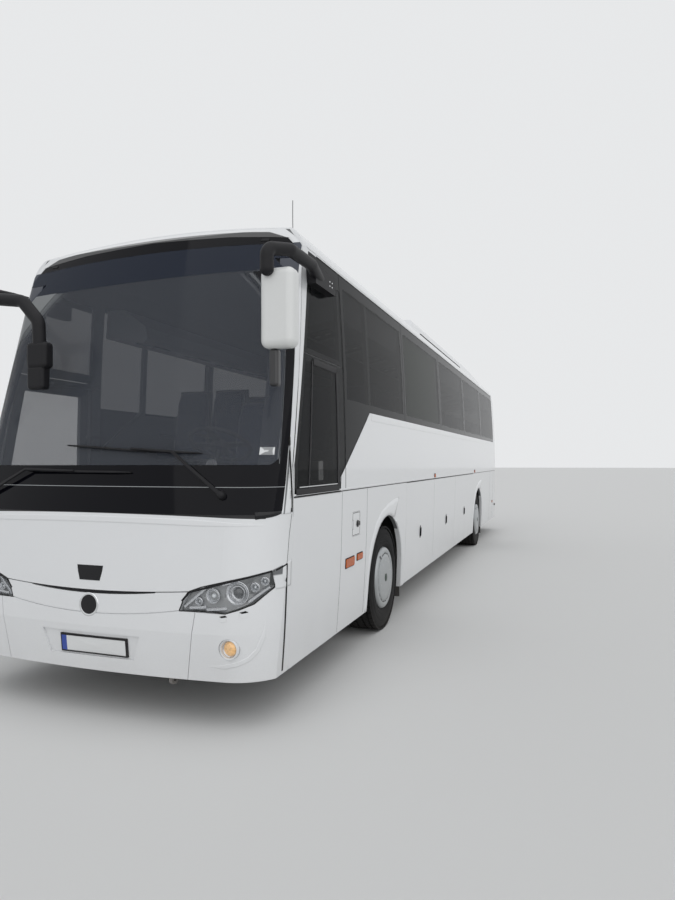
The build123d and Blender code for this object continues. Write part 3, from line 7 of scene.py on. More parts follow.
# %% Load the coach
import bpy
import bmesh
import json
import math
from mathutils import Matrix, Vector
from mathutils.bvhtree import BVHTree
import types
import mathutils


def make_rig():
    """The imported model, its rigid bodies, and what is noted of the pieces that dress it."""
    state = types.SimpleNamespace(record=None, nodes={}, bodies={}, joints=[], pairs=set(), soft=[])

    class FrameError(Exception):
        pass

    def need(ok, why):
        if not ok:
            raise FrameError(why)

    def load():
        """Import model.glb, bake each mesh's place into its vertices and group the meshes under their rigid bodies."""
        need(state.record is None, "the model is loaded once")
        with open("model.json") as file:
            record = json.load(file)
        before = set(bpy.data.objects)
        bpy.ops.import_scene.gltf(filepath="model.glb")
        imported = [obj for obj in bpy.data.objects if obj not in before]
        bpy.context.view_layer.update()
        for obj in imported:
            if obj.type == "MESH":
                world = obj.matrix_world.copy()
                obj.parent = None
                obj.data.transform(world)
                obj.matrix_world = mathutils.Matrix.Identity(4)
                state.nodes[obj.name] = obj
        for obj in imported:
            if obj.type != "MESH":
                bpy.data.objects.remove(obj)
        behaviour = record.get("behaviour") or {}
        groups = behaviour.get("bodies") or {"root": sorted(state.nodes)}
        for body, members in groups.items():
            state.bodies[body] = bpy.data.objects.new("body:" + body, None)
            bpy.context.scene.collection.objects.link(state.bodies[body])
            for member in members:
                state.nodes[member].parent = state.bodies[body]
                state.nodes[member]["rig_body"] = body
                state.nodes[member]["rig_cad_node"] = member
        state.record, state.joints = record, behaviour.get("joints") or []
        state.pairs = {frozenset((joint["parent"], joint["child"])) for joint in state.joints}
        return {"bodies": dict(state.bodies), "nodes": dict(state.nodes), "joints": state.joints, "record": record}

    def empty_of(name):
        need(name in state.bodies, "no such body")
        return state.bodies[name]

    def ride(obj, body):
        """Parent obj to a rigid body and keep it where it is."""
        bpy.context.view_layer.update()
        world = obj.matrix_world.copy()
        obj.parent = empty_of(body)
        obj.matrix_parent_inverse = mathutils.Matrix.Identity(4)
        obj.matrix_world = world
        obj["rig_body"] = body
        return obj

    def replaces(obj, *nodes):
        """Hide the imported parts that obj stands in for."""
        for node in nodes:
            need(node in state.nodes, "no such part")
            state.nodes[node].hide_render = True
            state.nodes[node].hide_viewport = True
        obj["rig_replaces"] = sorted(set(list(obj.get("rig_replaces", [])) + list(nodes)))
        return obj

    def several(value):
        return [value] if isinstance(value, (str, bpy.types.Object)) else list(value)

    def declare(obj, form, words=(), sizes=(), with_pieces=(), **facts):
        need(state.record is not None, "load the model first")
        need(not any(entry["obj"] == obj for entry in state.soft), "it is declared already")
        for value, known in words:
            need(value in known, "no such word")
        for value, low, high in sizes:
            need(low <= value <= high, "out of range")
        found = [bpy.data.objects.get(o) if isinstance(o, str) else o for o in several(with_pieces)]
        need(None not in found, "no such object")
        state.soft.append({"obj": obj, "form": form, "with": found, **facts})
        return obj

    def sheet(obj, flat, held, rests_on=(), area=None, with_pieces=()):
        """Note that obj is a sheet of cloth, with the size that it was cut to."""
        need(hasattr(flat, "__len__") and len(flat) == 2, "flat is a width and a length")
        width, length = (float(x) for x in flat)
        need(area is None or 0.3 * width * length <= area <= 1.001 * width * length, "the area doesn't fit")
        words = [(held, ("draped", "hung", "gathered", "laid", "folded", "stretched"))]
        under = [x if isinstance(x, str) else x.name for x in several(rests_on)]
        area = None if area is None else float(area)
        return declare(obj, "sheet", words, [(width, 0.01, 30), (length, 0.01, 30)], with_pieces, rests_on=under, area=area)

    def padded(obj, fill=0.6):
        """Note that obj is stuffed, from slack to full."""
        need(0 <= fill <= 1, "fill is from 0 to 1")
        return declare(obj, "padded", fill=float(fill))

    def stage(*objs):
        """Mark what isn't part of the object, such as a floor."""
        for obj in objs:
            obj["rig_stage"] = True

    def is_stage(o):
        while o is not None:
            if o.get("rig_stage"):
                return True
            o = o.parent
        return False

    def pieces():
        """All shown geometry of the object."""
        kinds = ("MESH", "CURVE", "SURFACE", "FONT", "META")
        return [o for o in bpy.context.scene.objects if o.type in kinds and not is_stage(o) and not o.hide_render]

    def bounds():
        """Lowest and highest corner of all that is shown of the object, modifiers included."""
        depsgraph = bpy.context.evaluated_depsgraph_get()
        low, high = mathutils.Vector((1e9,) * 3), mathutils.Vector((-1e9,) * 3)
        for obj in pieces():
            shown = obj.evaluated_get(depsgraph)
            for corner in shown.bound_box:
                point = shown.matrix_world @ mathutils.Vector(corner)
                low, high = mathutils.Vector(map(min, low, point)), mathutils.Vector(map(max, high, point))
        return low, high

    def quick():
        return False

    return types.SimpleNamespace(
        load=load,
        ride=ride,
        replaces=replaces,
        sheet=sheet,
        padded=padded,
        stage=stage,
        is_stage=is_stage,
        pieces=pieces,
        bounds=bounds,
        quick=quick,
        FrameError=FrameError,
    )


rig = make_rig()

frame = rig.load()
cad_box = [list(corner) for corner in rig.bounds()]
print("the coach's box", cad_box)

AXLE_Y = -3.695
REAR_AXLE = 6850
HUB_HEIGHT = 511
CIRCLE = 2 * math.pi
HANDS = ((1, "left"), (-1, "right"))
BODY = "coach_body"


def at(x, station, z):
    """A place in metres from millimetres: across, back from the front axle, and up."""
    return Vector((x / 1000, station / 1000 + AXLE_Y, z / 1000))


def show(name, data):
    """A new object of the scene for a mesh, a light or a camera."""
    thing = bpy.data.objects.new(name, data)
    bpy.context.scene.collection.objects.link(thing)
    return thing


def meshed(name, work):
    """The mesh of an editing session, which ends."""
    mesh = bpy.data.meshes.new(name)
    work.to_mesh(mesh)
    work.free()
    return mesh


# %% [markdown]
# ## The camera
# The photographer stood near the front corner on the driver's side, with the lens at chest height. A camera
# could be placed by eye until the outline fits. Here its place and turn were worked out from about forty
# points of the photograph, so that the coach falls on the same spots of the picture.

# %% Set the camera
PHOTO = (675, 900)
FOCAL_PIXELS = 651.93
SENSOR = 36
CAMERA_PLACE = (2.99277, -10.02669, 1.67656)
CAMERA_ANGLES = (19.62, 0.97, -0.15)
CAMERA_REACH = 500
yaw, pitch, roll = (math.radians(angle) for angle in CAMERA_ANGLES)
ahead = Vector((-math.sin(yaw) * math.cos(pitch), math.cos(yaw) * math.cos(pitch), math.sin(pitch)))
level_right = Vector((math.cos(yaw), math.sin(yaw), 0))
level_up = level_right.cross(ahead)
right = math.cos(roll) * level_right + math.sin(roll) * level_up
up = -math.sin(roll) * level_right + math.cos(roll) * level_up
lens = bpy.data.cameras.new("camera")
lens.sensor_width = SENSOR
lens.lens = FOCAL_PIXELS * SENSOR / max(PHOTO)
lens.clip_end = CAMERA_REACH
camera = show("camera", lens)
camera.matrix_world = Matrix.Translation(CAMERA_PLACE) @ Matrix((right, up, -ahead)).transposed().to_4x4()
bpy.context.scene.camera = camera
print("lens", round(lens.lens, 2), "mm")

# %% [markdown]
# ## Numbers that flow through a shader
# A paint mask such as "above this curved line" is a short sum, but as nodes it is a dozen boxes and wires.
# The boxes could be placed one by one. A small class writes them instead, so that the sum reads as a sum.

# %% A number in a node tree


class Flow:
    """A value in a shader tree that can be added, multiplied and compared like a number."""

    def __init__(self, tree, socket):
        self.tree = tree
        self.socket = socket

    def join(self, operation, other=None, clamp=False):
        """A sum of this value and another value or number, as a node."""
        node = self.tree.nodes.new("ShaderNodeMath")
        node.operation = operation
        node.use_clamp = clamp
        self.send(node.inputs[0])
        if isinstance(other, Flow):
            other.send(node.inputs[1])
        elif other is not None:
            node.inputs[1].default_value = other
        return Flow(self.tree, node.outputs[0])

    def send(self, goal):
        self.tree.links.new(self.socket, goal)

    def __add__(self, other):
        return self.join("ADD", other)

    def __sub__(self, other):
        return self.join("SUBTRACT", other)

    def __mul__(self, other):
        return self.join("MULTIPLY", other)

    def least(self, other):
        return self.join("MINIMUM", other)

    def most(self, other):
        return self.join("MAXIMUM", other)

    def size(self):
        return self.join("ABSOLUTE")

    def rest(self):
        """What is left of 1, so that a mask turns into its opposite."""
        return self * -1 + 1

    def over(self, edge, blur=0.002):
        """1 where the value is above the edge and 0 below, with a narrow blur between."""
        return (self - edge).join("MULTIPLY", 1 / blur, clamp=True)

    def under(self, edge, blur=0.002):
        return (self * -1 + edge).join("MULTIPLY", 1 / blur, clamp=True)

    def between(self, low, high, blur=0.002):
        return self.over(low, blur) * self.under(high, blur)


def spot(tree):
    """The three Object coordinates of the point that is shaded, as flowing values, and their vector."""
    where = tree.nodes.new("ShaderNodeTexCoord").outputs["Object"]
    parts = tree.nodes.new("ShaderNodeSeparateXYZ")
    tree.links.new(where, parts.inputs[0])
    return [Flow(tree, parts.outputs[i]) for i in range(3)] + [where]


def noise(tree, where, scale, detail=2, rough=0.5):
    """Soft clouds at a scale, which is a number or a flowing value."""
    node = tree.nodes.new("ShaderNodeTexNoise")
    if isinstance(scale, Flow):
        scale.send(node.inputs["Scale"])
    else:
        node.inputs["Scale"].default_value = scale
    node.inputs["Detail"].default_value = detail
    node.inputs["Roughness"].default_value = rough
    tree.links.new(where, node.inputs["Vector"])
    return Flow(tree, node.outputs["Fac"])


def new_group(name, inputs, outputs):
    """An empty shader group: its tree, its inputs as flowing values, and the sockets of its outputs."""
    tree = bpy.data.node_groups.new(name, "ShaderNodeTree")
    for label, value in inputs.items():
        socket = tree.interface.new_socket(label, in_out="INPUT", socket_type="NodeSocketFloat")
        socket.default_value = value
    for label in outputs:
        tree.interface.new_socket(label, in_out="OUTPUT", socket_type="NodeSocketFloat")
    start = tree.nodes.new("NodeGroupInput")
    given = {label: Flow(tree, start.outputs[label]) for label in inputs}
    return tree, given, tree.nodes.new("NodeGroupOutput").inputs


# %% [markdown]
# ## Two effects that many finishes share
# Road film is the thin grey dust that settles low on every coach and thins out upwards, in soft clouds.
# Fine grain is the small unevenness of a moulded, cast or painted face, which breaks up its reflections.
# Both could be drawn again in each material. As shader groups they are built once and set by a few numbers.

# %% Road film and fine grain
film, given, result = new_group("road_film", {"Height": 0.9, "Amount": 0.25, "Cloud Scale": 2.5}, ["Dust"])
x, y, z, where = spot(film)
fade = (given["Height"] - z).join("DIVIDE", given["Height"], clamp=True)
mist = noise(film, where, given["Cloud Scale"], 6) * 0.75 + noise(film, where, 90, 2, 0.55) * 0.35
dust = (fade * fade + 0.05) * mist * given["Amount"]
dust.join("MULTIPLY", 2.2, clamp=True).send(result["Dust"])

grain, given, result = new_group("fine_grain", {"Scale": 400.0, "Flecks": 0.5}, ["Height", "Fleck"])
x, y, z, where = spot(grain)
cells = grain.nodes.new("ShaderNodeTexVoronoi")
grain.links.new(where, cells.inputs["Vector"])
given["Scale"].send(cells.inputs["Scale"])
waves = noise(grain, where, given["Scale"])
(Flow(grain, cells.outputs["Distance"]) * 0.6 + waves * 0.6).send(result["Height"])
(waves.over(0.5, 0.2) * given["Flecks"]).send(result["Fleck"])
print("groups", [g.name for g in bpy.data.node_groups])

# %% [markdown]
# ## Finishes
# Most finishes of the coach differ only in colour, gloss, dust and grain: lacquer, moulded plastic, rubber,
# steel. Each could be its own tree from scratch. One function makes the common part, and special ones add
# to what it gives.

# %% A finish
DUST_GREY = (0.30, 0.28, 0.26)
PLASTIC_IOR = 1.5
GRAIN_DEPTH = 0.0006


class Finish:
    """A material with a Principled shader, road film in its colour and roughness, and a grain bump."""

    def __init__(self, name, colour, rough=0.5, metallic=0.0, dust=0.3, height=0.9, grain_size=400.0,
                 bump=0.05, tone=0.1, shine=None, coat=None, coat_rough=0.05):
        self.material = bpy.data.materials.new(name)
        self.material.use_nodes = True
        self.tree = self.material.node_tree
        self.shader = self.tree.nodes["Principled BSDF"]
        self.set("Metallic", metallic)
        self.set("IOR", PLASTIC_IOR)
        if shine is not None:
            self.set("Specular IOR Level", shine)
        if coat is not None:
            self.set("Coat Weight", coat)
            self.set("Coat Roughness", coat_rough)
        self.x, self.y, self.z, self.where = spot(self.tree)
        grey = self.place(film, {"Height": height, "Amount": dust})["Dust"]
        relief = self.place(grain, {"Scale": grain_size})
        self.fleck = relief["Fleck"]
        speckled = self.mix(self.fleck, colour, [value * (1 - tone) for value in colour])
        self.base = self.mix(grey, speckled, DUST_GREY)
        self.link(self.base, "Base Color")
        self.rough = grey * 0.6 + (self.fleck * 0.06 + rough)
        self.link(self.rough.socket, "Roughness")
        raised = self.tree.nodes.new("ShaderNodeBump")
        raised.inputs["Strength"].default_value = bump
        raised.inputs["Distance"].default_value = GRAIN_DEPTH
        relief["Height"].send(raised.inputs["Height"])
        self.link(raised.outputs["Normal"], "Normal")

    def set(self, label, value):
        self.shader.inputs[label].default_value = value
        return self

    def place(self, tree, values):
        """A shader group with some of its numbers set. Returns its outputs as flowing values."""
        node = self.tree.nodes.new("ShaderNodeGroup")
        node.node_tree = tree
        for label, value in values.items():
            node.inputs[label].default_value = value
        return {socket.name: Flow(self.tree, socket) for socket in node.outputs}

    def link(self, socket, label):
        self.tree.links.new(socket, self.shader.inputs[label])

    def mix(self, factor, first, second):
        """Blend two colours, each a socket or three numbers, by a flowing value."""
        node = self.tree.nodes.new("ShaderNodeMix")
        node.data_type = "RGBA"
        factor.send(node.inputs[0])
        for index, value in ((6, first), (7, second)):
            if isinstance(value, bpy.types.NodeSocket):
                self.tree.links.new(value, node.inputs[index])
            else:
                node.inputs[index].default_value = (*value, 1)
        return node.outputs[2]

    def paint(self, mask, colour, rough=None):
        """Lay a colour, and a roughness with it, where the mask is 1."""
        self.base = self.mix(mask, self.base, colour)
        self.link(self.base, "Base Color")
        if rough is not None:
            self.rough = self.rough * mask.rest() + mask * rough
            self.link(self.rough.socket, "Roughness")
        return self


def wear(finish, *nodes):
    """Give CAD nodes a finish in place of the plain one that they came with."""
    for name in nodes:
        for slot in frame["nodes"][name].material_slots:
            slot.material = finish.material


# %% [markdown]
# ## Paint, glass and metal of the coach
# The body is plain white lacquer over primer: a pale grey-white with a clear coat, cleaner above than at
# the sill. Glass could be left fully clear, but a coach's side panes are tinted nearly black and the
# windscreen only lightly. A see-through share on a dark, glossy surface gives both, and costs far less time
# than bending the light.

# %% Body finishes
SCREEN_SLANT = 0.2235
BELT, ROOF_EDGE = 1.437, 3.215


def lacquered(name):
    """Plain white lacquer with a clear coat."""
    return Finish(name, (0.78, 0.79, 0.80), rough=0.30, dust=0.22, height=1.1, grain_size=900, bump=0.02,
                  tone=0.015, coat=0.7, coat_rough=0.06)


# Lined panels show the dull grey of the lining on what faces the cabin
lacquer = lacquered("white_lacquer")
x, y, z = lacquer.x, lacquer.y, lacquer.z
rise = z - BELT
side_line = rise * 0.0051 - rise * rise * 0.0228 + 1.265
roof_line = (z - ROOF_EDGE) * -0.72 + 1.202
inside = (side_line.least(roof_line) - x.size()).over(0) * (y - z * SCREEN_SLANT).over(-6.50, 0.004)
inside = inside * z.over(0.95, 0.01) * y.under(5.72, 0.004) * (z + x * x * 0.058).under(3.425, 0.004)
lacquer.paint(inside, (0.13, 0.135, 0.14), 0.75)

# The front panel is black behind the windscreen, along its brow and under its foot
front_lacquer = lacquered("front_lacquer")
x, y, z = front_lacquer.x, front_lacquer.y, front_lacquer.z
behind_glass = x.size().under(1.21) * z.between(1.40, 3.24)
brow = (z + x * x * 0.05).between(3.335, 3.386) * y.under(-5.76)
foot_band = (x * x * 0.018 + z).over(1.338, 0.001) * z.under(1.40) * x.size().under(1.19)
front_lacquer.paint(behind_glass, (0.012, 0.018, 0.035), 0.7)
front_lacquer.paint(brow, (0.012, 0.012, 0.014), 0.3)
front_lacquer.paint(foot_band, (0.006, 0.006, 0.008), 0.3)
front_lacquer.link((foot_band.rest() * 0.7).socket, "Coat Weight")

outer_lacquer = lacquered("outer_lacquer")
gloss_black = Finish("black_gloss", (0.010, 0.010, 0.012), rough=0.16, dust=0.12, bump=0.02, coat=0.15,
                     shine=0.22)
moulded_black = Finish("black_moulding", (0.009, 0.009, 0.011), dust=0.2, bump=0.25, shine=0.22)
rubber = Finish("black_rubber", (0.007, 0.007, 0.007), rough=0.7, dust=0.25, bump=0.3, shine=0.22)
chrome = Finish("bright_chrome", (0.78, 0.79, 0.80), rough=0.09, metallic=1.0, dust=0.1, bump=0.01)
steel = Finish("dark_steel", (0.055, 0.055, 0.058), rough=0.6, dust=0.9, height=1.4, grain_size=120, bump=0.4)
cast = Finish("cast_iron", (0.05, 0.048, 0.046), rough=0.7, dust=1.0, height=1.2, grain_size=160, bump=0.6)
sheet_metal = Finish("grey_sheet", (0.22, 0.225, 0.23), rough=0.45, metallic=0.3, dust=0.5, height=1.3,
                     grain_size=60, bump=0.1)
housing_black = Finish("housing_black", (0.012, 0.012, 0.012), rough=0.8, dust=0.7, height=1.2,
                       grain_size=150, bump=0.5)
silver = Finish("wheel_silver", (0.40, 0.42, 0.43), rough=0.34, metallic=0.35, dust=0.35, height=1.0,
                grain_size=500, bump=0.06, coat=0.3, coat_rough=0.15)
tyre_black = Finish("tyre_rubber", (0.006, 0.006, 0.0065), rough=0.72, dust=0.07, height=0.7, grain_size=220,
                    bump=0.35, shine=0.18)
amber = Finish("amber_lens", (0.50, 0.095, 0.004), rough=0.2, dust=0.05, bump=0.03, coat=0.1, shine=0.25)
red = Finish("red_lens", (0.42, 0.012, 0.008), rough=0.12, dust=0.15, bump=0.03, coat=0.6)
plate_white = Finish("plate_white", (0.75, 0.76, 0.76), rough=0.35, dust=0.15)
plate_blue = Finish("plate_blue", (0.02, 0.06, 0.35), rough=0.35, dust=0.15)
light_trim = Finish("light_trim", (0.42, 0.43, 0.44), rough=0.6, dust=0.0, grain_size=700, bump=0.2)
dark_trim = Finish("dark_trim", (0.05, 0.052, 0.056), rough=0.62, dust=0.0, grain_size=700, bump=0.25)
floor_cover = Finish("floor_cover", (0.11, 0.115, 0.12), rough=0.7, dust=0.0, grain_size=260, bump=0.2,
                     tone=0.5)
mirror_glass = Finish("mirror_glass", (0.70, 0.73, 0.75), rough=0.03, metallic=1.0, dust=0.05, bump=0.0)


def glaze(name, colour, see_through):
    """A pane whose colour and reflections stay while part of the light behind it comes through."""
    pane = Finish(name, colour, rough=0.03, dust=0.06, height=2.2, bump=0.0, tone=0.05, shine=0.3)
    return pane.set("IOR", 1.3).set("Alpha", 1 - see_through)


side_pane = glaze("side_glass", (0.004, 0.005, 0.006), 0.42).set("IOR", 1.17)
rear_pane = glaze("rear_glass", (0.010, 0.012, 0.014), 0.3)
door_pane = glaze("door_glass", (0.010, 0.013, 0.013), 0.75)
screen = glaze("windscreen_glass", (0.085, 0.093, 0.110), 0.70)
lens_glass = glaze("lamp_lens", (0.55, 0.58, 0.60), 0.90)

# %% [markdown]
# ### The printed edge of the windscreen
# A windscreen has a black ceramic print round its rim, a sun strip under the header and a dark foot over
# the wipers. These could be thin sheets on the glass, but real print has no thickness. So the pane's own
# colour and see-through share change by height and distance from the pillar, along the same slightly curved
# lines as on the coach. Thin light lines along the foot and the pillar are painted highlights, and grey over
# the far pillar's print is a painted reflection.

# %% Print on the glass, with painted highlights and a painted reflection
SCREEN_OPACITY = 0.42
x, y, z = screen.x, screen.y, screen.z
header = (z + x * x * 0.02).over(3.258, 0.003)
strip = (z - (x + 0.3).join("SINE") * 0.012).over(3.028, 0.003)
corner = (x.size() - 1.17).most(0) * 1.4
foot = (z - corner * corner * 9).under(1.655, 0.003)
from_pillar = y - z * SCREEN_SLANT
pillar = from_pillar.over(-6.553, 0.003) * z.under(3.03, 0.003)
printed = header.most(foot).most(pillar)
screen.paint(strip, (0.020, 0.026, 0.042)).paint(printed, (0.003, 0.003, 0.005))
# On the far pillar the black print is painted grey: a painted reflection at the glancing angle
screen.paint(pillar * foot.rest() * x.under(-0.6, 0.01), (0.22, 0.23, 0.235))
# Thin light lines along the foot and the pillar are painted highlights on the glass
foot_highlight = z.between(1.509, 1.514)
pillar_highlight = from_pillar.between(-6.556, -6.552, 0.001) * z.between(1.66, 3.02)
line = foot_highlight.most(pillar_highlight * 0.5)
screen.paint(line, (0.45, 0.47, 0.48))
screen.link((strip * 0.85).most(printed).most(line).most(SCREEN_OPACITY).socket, "Alpha")

# %% [markdown]
# ### The dark rims of the side panes
# Each side pane is bonded from outside, and its rim is printed black to hide the glue. From the street it
# shows as a slightly deeper black frame. It could be modelled as a border, but again it is print: the
# distance from the seams and from the upper and lower edges decides where the pane turns opaque.

# %% Rims of the side panes
PANE_SEAMS = (-1315, 750, 2900, 5100, 7330)
RIM_WIDTH, PANE_OPACITY = 0.075, 0.62
SLOPE_Y = PANE_SEAMS[0] / 1000 + AXLE_Y
y, z = side_pane.y, side_pane.z
rim_mask = z.over(3.105, 0.004).most(z.under(2.190, 0.004))
for seam in PANE_SEAMS:
    rim_mask = rim_mask.most((y - (seam / 1000 + AXLE_Y)).size().under(RIM_WIDTH, 0.004))
ahead_of_slope = y.under(SLOPE_Y, 0.003)
front_rim = z.over(3.06, 0.004).most(z.under(1.50, 0.004))
opaque = rim_mask * ahead_of_slope.rest() + front_rim * ahead_of_slope
side_pane.link(opaque.most(PANE_OPACITY).socket, "Alpha")

# %% Mirror housings: white above, with a black lower piece and a black front mirror
mirror_white = Finish("mirror_housing", (0.74, 0.75, 0.74), rough=0.35, height=4.0, grain_size=900, bump=0.02,
                      tone=0.02, coat=0.5, coat_rough=0.1)
lower_piece = mirror_white.z.under(2.366, 0.001)
front_piece = mirror_white.x.size().under(1.0, 0.01)
mirror_white.paint(lower_piece.most(front_piece), (0.012, 0.012, 0.014), 0.45)

# %% Dress the CAD nodes


def named(word):
    """The CAD nodes with a word in their name."""
    return [name for name in frame["nodes"] if word in name]


flaps = named("luggage_flap")
wear(lacquer, "left_wall", "right_wall", "roof", "front_door_leaf", "mid_door_leaf", "service_flap", *flaps)
wear(front_lacquer, "front_panel")
wear(outer_lacquer, "rear_panel", "rear_bumper", "front_bumper", "roof_unit", "engine_lid")
wear(side_pane, "left_glass", "right_glass")
wear(door_pane, "front_door_glass", "mid_door_glass")
wear(rear_pane, "rear_window")
wear(screen, "windscreen")
wear(lens_glass, "front_lamps")
wear(red, "rear_lamps")
wear(steel, "chassis_frame", "hinge_brackets", *named("_door_arms"))
wear(sheet_metal, "luggage_floor")
wear(housing_black, "wheel_housings")
wear(floor_cover, "passenger_floor", "door_steps")
wear(cast, "front_axle", "rear_axle", "engine", *named("knuckle"))
wear(light_trim, "parcel_racks")
wear(dark_trim, "dashboard", "steering_wheel")
wear(moulded_black, "mirror_arms")
wear(mirror_white, "mirror_heads")
wear(silver, *named("front_wheel_"), *named("rear_wheels_"))
wear(tyre_black, *named("_tyre"))
print("dressed", len(frame["nodes"]), "nodes")

# %% [markdown]
# ## Floor and light
# A studio shows a white coach best under one broad, soft light with a pale floor that keeps its shadow.
# Several lamps could be balanced against each other. Here the sky gives most of the light, and one soft sun
# from the front left models the corner, at a level where a colour comes out about as it is written.

# %% Floor
FLOOR_RADIUS = 150
floor_finish = bpy.data.materials.new("studio_floor")
floor_finish.use_nodes = True
floor_shader = floor_finish.node_tree.nodes["Principled BSDF"]
floor_shader.inputs["Base Color"].default_value = (0.70, 0.70, 0.69, 1)
floor_shader.inputs["Roughness"].default_value = 0.9
disc = bmesh.new()
bmesh.ops.create_circle(disc, cap_ends=True, radius=FLOOR_RADIUS, segments=96)
floor = show("studio_floor", meshed("studio_floor", disc))
floor.data.materials.append(floor_finish)
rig.stage(floor)

# %% Light
SKY, SKY_STRENGTH, BACKDROP = (0.93, 0.95, 0.98, 1), 0.55, (0.80, 0.81, 0.82, 1)
SUN_STRENGTH, SUN_ANGLE = 1.3, 110
SUN_TURN = (math.radians(48), 0, math.radians(38))
bpy.context.scene.view_settings.view_transform = "Standard"
world = bpy.data.worlds.new("sky")
bpy.context.scene.world = world
world.use_nodes = True
sky_tree = world.node_tree
ground = sky_tree.nodes["Background"]
ground.inputs["Color"].default_value = SKY
ground.inputs["Strength"].default_value = SKY_STRENGTH
backdrop = sky_tree.nodes.new("ShaderNodeBackground")
backdrop.inputs["Color"].default_value = BACKDROP
path = sky_tree.nodes.new("ShaderNodeLightPath").outputs
RAYS = ("Camera", "Transmission", "Glossy")
seen, passed, mirrored = (Flow(sky_tree, path[f"Is {kind} Ray"]) for kind in RAYS)
blend = sky_tree.nodes.new("ShaderNodeMixShader")
seen.most(passed).most(mirrored).send(blend.inputs[0])
sky_tree.links.new(ground.outputs[0], blend.inputs[1])
sky_tree.links.new(backdrop.outputs[0], blend.inputs[2])
sky_tree.links.new(blend.outputs[0], sky_tree.nodes["World Output"].inputs["Surface"])
sun_light = bpy.data.lights.new("soft_sun", "SUN")
sun_light.energy = SUN_STRENGTH
sun_light.angle = math.radians(SUN_ANGLE)
sun = show("soft_sun", sun_light)
sun.rotation_euler = SUN_TURN
print("lit by a sky and one soft sun")

# %% [markdown]
# ## Laying pieces on the skin
# Most trim of a coach is glued or clipped flat onto curved panels: seals, strips, lamps, badges and
# handles. Their places could be typed in as depths, and would then float or sink where the body bulges. A
# ray shot at the CAD skin gives the true depth and slope at any height and station, so each piece sits on
# its panel.

# %% Rays onto the skin
SINK = 0.004
ASIDE = [Vector(step) for step in ((0, 0, 0), (0, 0, 0.008), (0, 0.008, -0.004), (0.008, 0, 0))]


def skin(*names):
    """A tree of the faces of some CAD nodes, for rays."""
    points, faces = [], []
    for name in names:
        mesh = frame["nodes"][name].data
        start = len(points)
        points += [vertex.co.copy() for vertex in mesh.vertices]
        faces += [[start + i for i in polygon.vertices] for polygon in mesh.polygons]
    return BVHTree.FromPolygons(points, faces)


def view(tree, place, way):
    """A skin seen along a way: a function from two flat millimetres to the point met and its normal."""
    way = Vector(way)

    def surface(a, b):
        start = at(*place(a, b))
        for aside in ASIDE:
            hit, normal = tree.ray_cast(start + aside, way)[:2]
            if hit is not None:
                return hit - aside, -normal if normal.dot(way) > 0 else normal
        raise ValueError(f"nothing is met from {tuple(start)}")

    return surface


def flank(tree, side, far=1700):
    """A skin seen from the left (1) or the right (-1), over (station, height)."""
    return view(tree, lambda s, z: (side * far, s, z), (-side, 0, 0))


def plan(tree, height):
    """A skin seen from above, over (across, station)."""
    return view(tree, lambda x, s: (x, s, height), (0, 0, -1))


doors = named("_door_leaf") + named("_door_glass")
front = view(skin("front_panel", "front_bumper", "windscreen", "front_lamps"), lambda x, z: (x, -3600, z),
             (0, 1, 0))
back = view(skin("rear_panel", "rear_bumper", "engine_lid", "rear_window", "rear_lamps"),
            lambda x, z: (x, 11500, z), (0, -1, 0))
ends = ("front_panel", "front_bumper", "roof", "rear_panel")
left = flank(skin("left_wall", "left_glass", "service_flap", *named("luggage_flap_left"), *ends), 1)
right_side = flank(skin("right_wall", "right_glass", *doors, *named("luggage_flap_right"), *ends), -1)
top_skin = skin("roof", "roof_unit", "front_panel")
top = plan(top_skin, 4200)
corner_skin = skin("windscreen", "front_panel", "front_lamps", "front_bumper")
SIDES = ((1, "left", left), (-1, "right", right_side))

# %% Making meshes


def mesh_of(name, points, faces, weld=False, collapse=False, closed=True):
    """A mesh of points and faces. A closed form has its faces turned outwards."""
    work = bmesh.new()
    corners = [work.verts.new(point) for point in points]
    for face in faces:
        work.faces.new([corners[i] for i in face])
    if weld:
        bmesh.ops.remove_doubles(work, verts=work.verts, dist=1e-6)
    if collapse:
        bmesh.ops.dissolve_degenerate(work, dist=1e-6, edges=work.edges)
    if closed:
        bmesh.ops.recalc_face_normals(work, faces=work.faces)
    return meshed(name, work)


def ring_faces(count, rings, loop=False):
    """Faces between rings of points, and an end face at both ends where the rings don't loop."""
    faces = []
    for row in range(rings if loop else rings - 1):
        first, second = row * count, (row + 1) % rings * count
        for i in range(count):
            j = (i + 1) % count
            faces.append((first + i, first + j, second + j, second + i))
    if not loop:
        faces += [tuple(range(count))[::-1], tuple((rings - 1) * count + i for i in range(count))]
    return faces


def piece(name, mesh, finish, body=BODY, smooth=False):
    """An object for a finished mesh, with its finish, on its body."""
    mesh.materials.clear()
    mesh.materials.append(finish.material)
    if smooth:
        mesh.shade_smooth()
    thing = show(name, mesh)
    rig.ride(thing, body)
    return thing


def solid(name, points, faces, finish, body=BODY, smooth=False, closed=True):
    """An object from points in metres that rides on a body."""
    return piece(name, mesh_of(name, points, faces, weld=True, closed=closed), finish, body, smooth)


def soften(thing, width, segments=2):
    """A rounded edge, which catches the light as a moulded or pressed edge does."""
    edge = thing.modifiers.new("edge", "BEVEL")
    edge.width = width / 1000
    edge.segments = segments
    edge.limit_method = "ANGLE"
    edge.angle_limit = math.radians(35)
    return thing


def baked(thing):
    """The mesh of an object with its modifiers. The object is used up."""
    graph = bpy.context.evaluated_depsgraph_get()
    mesh = bpy.data.meshes.new_from_object(thing.evaluated_get(graph))
    bpy.data.objects.remove(thing)
    return mesh


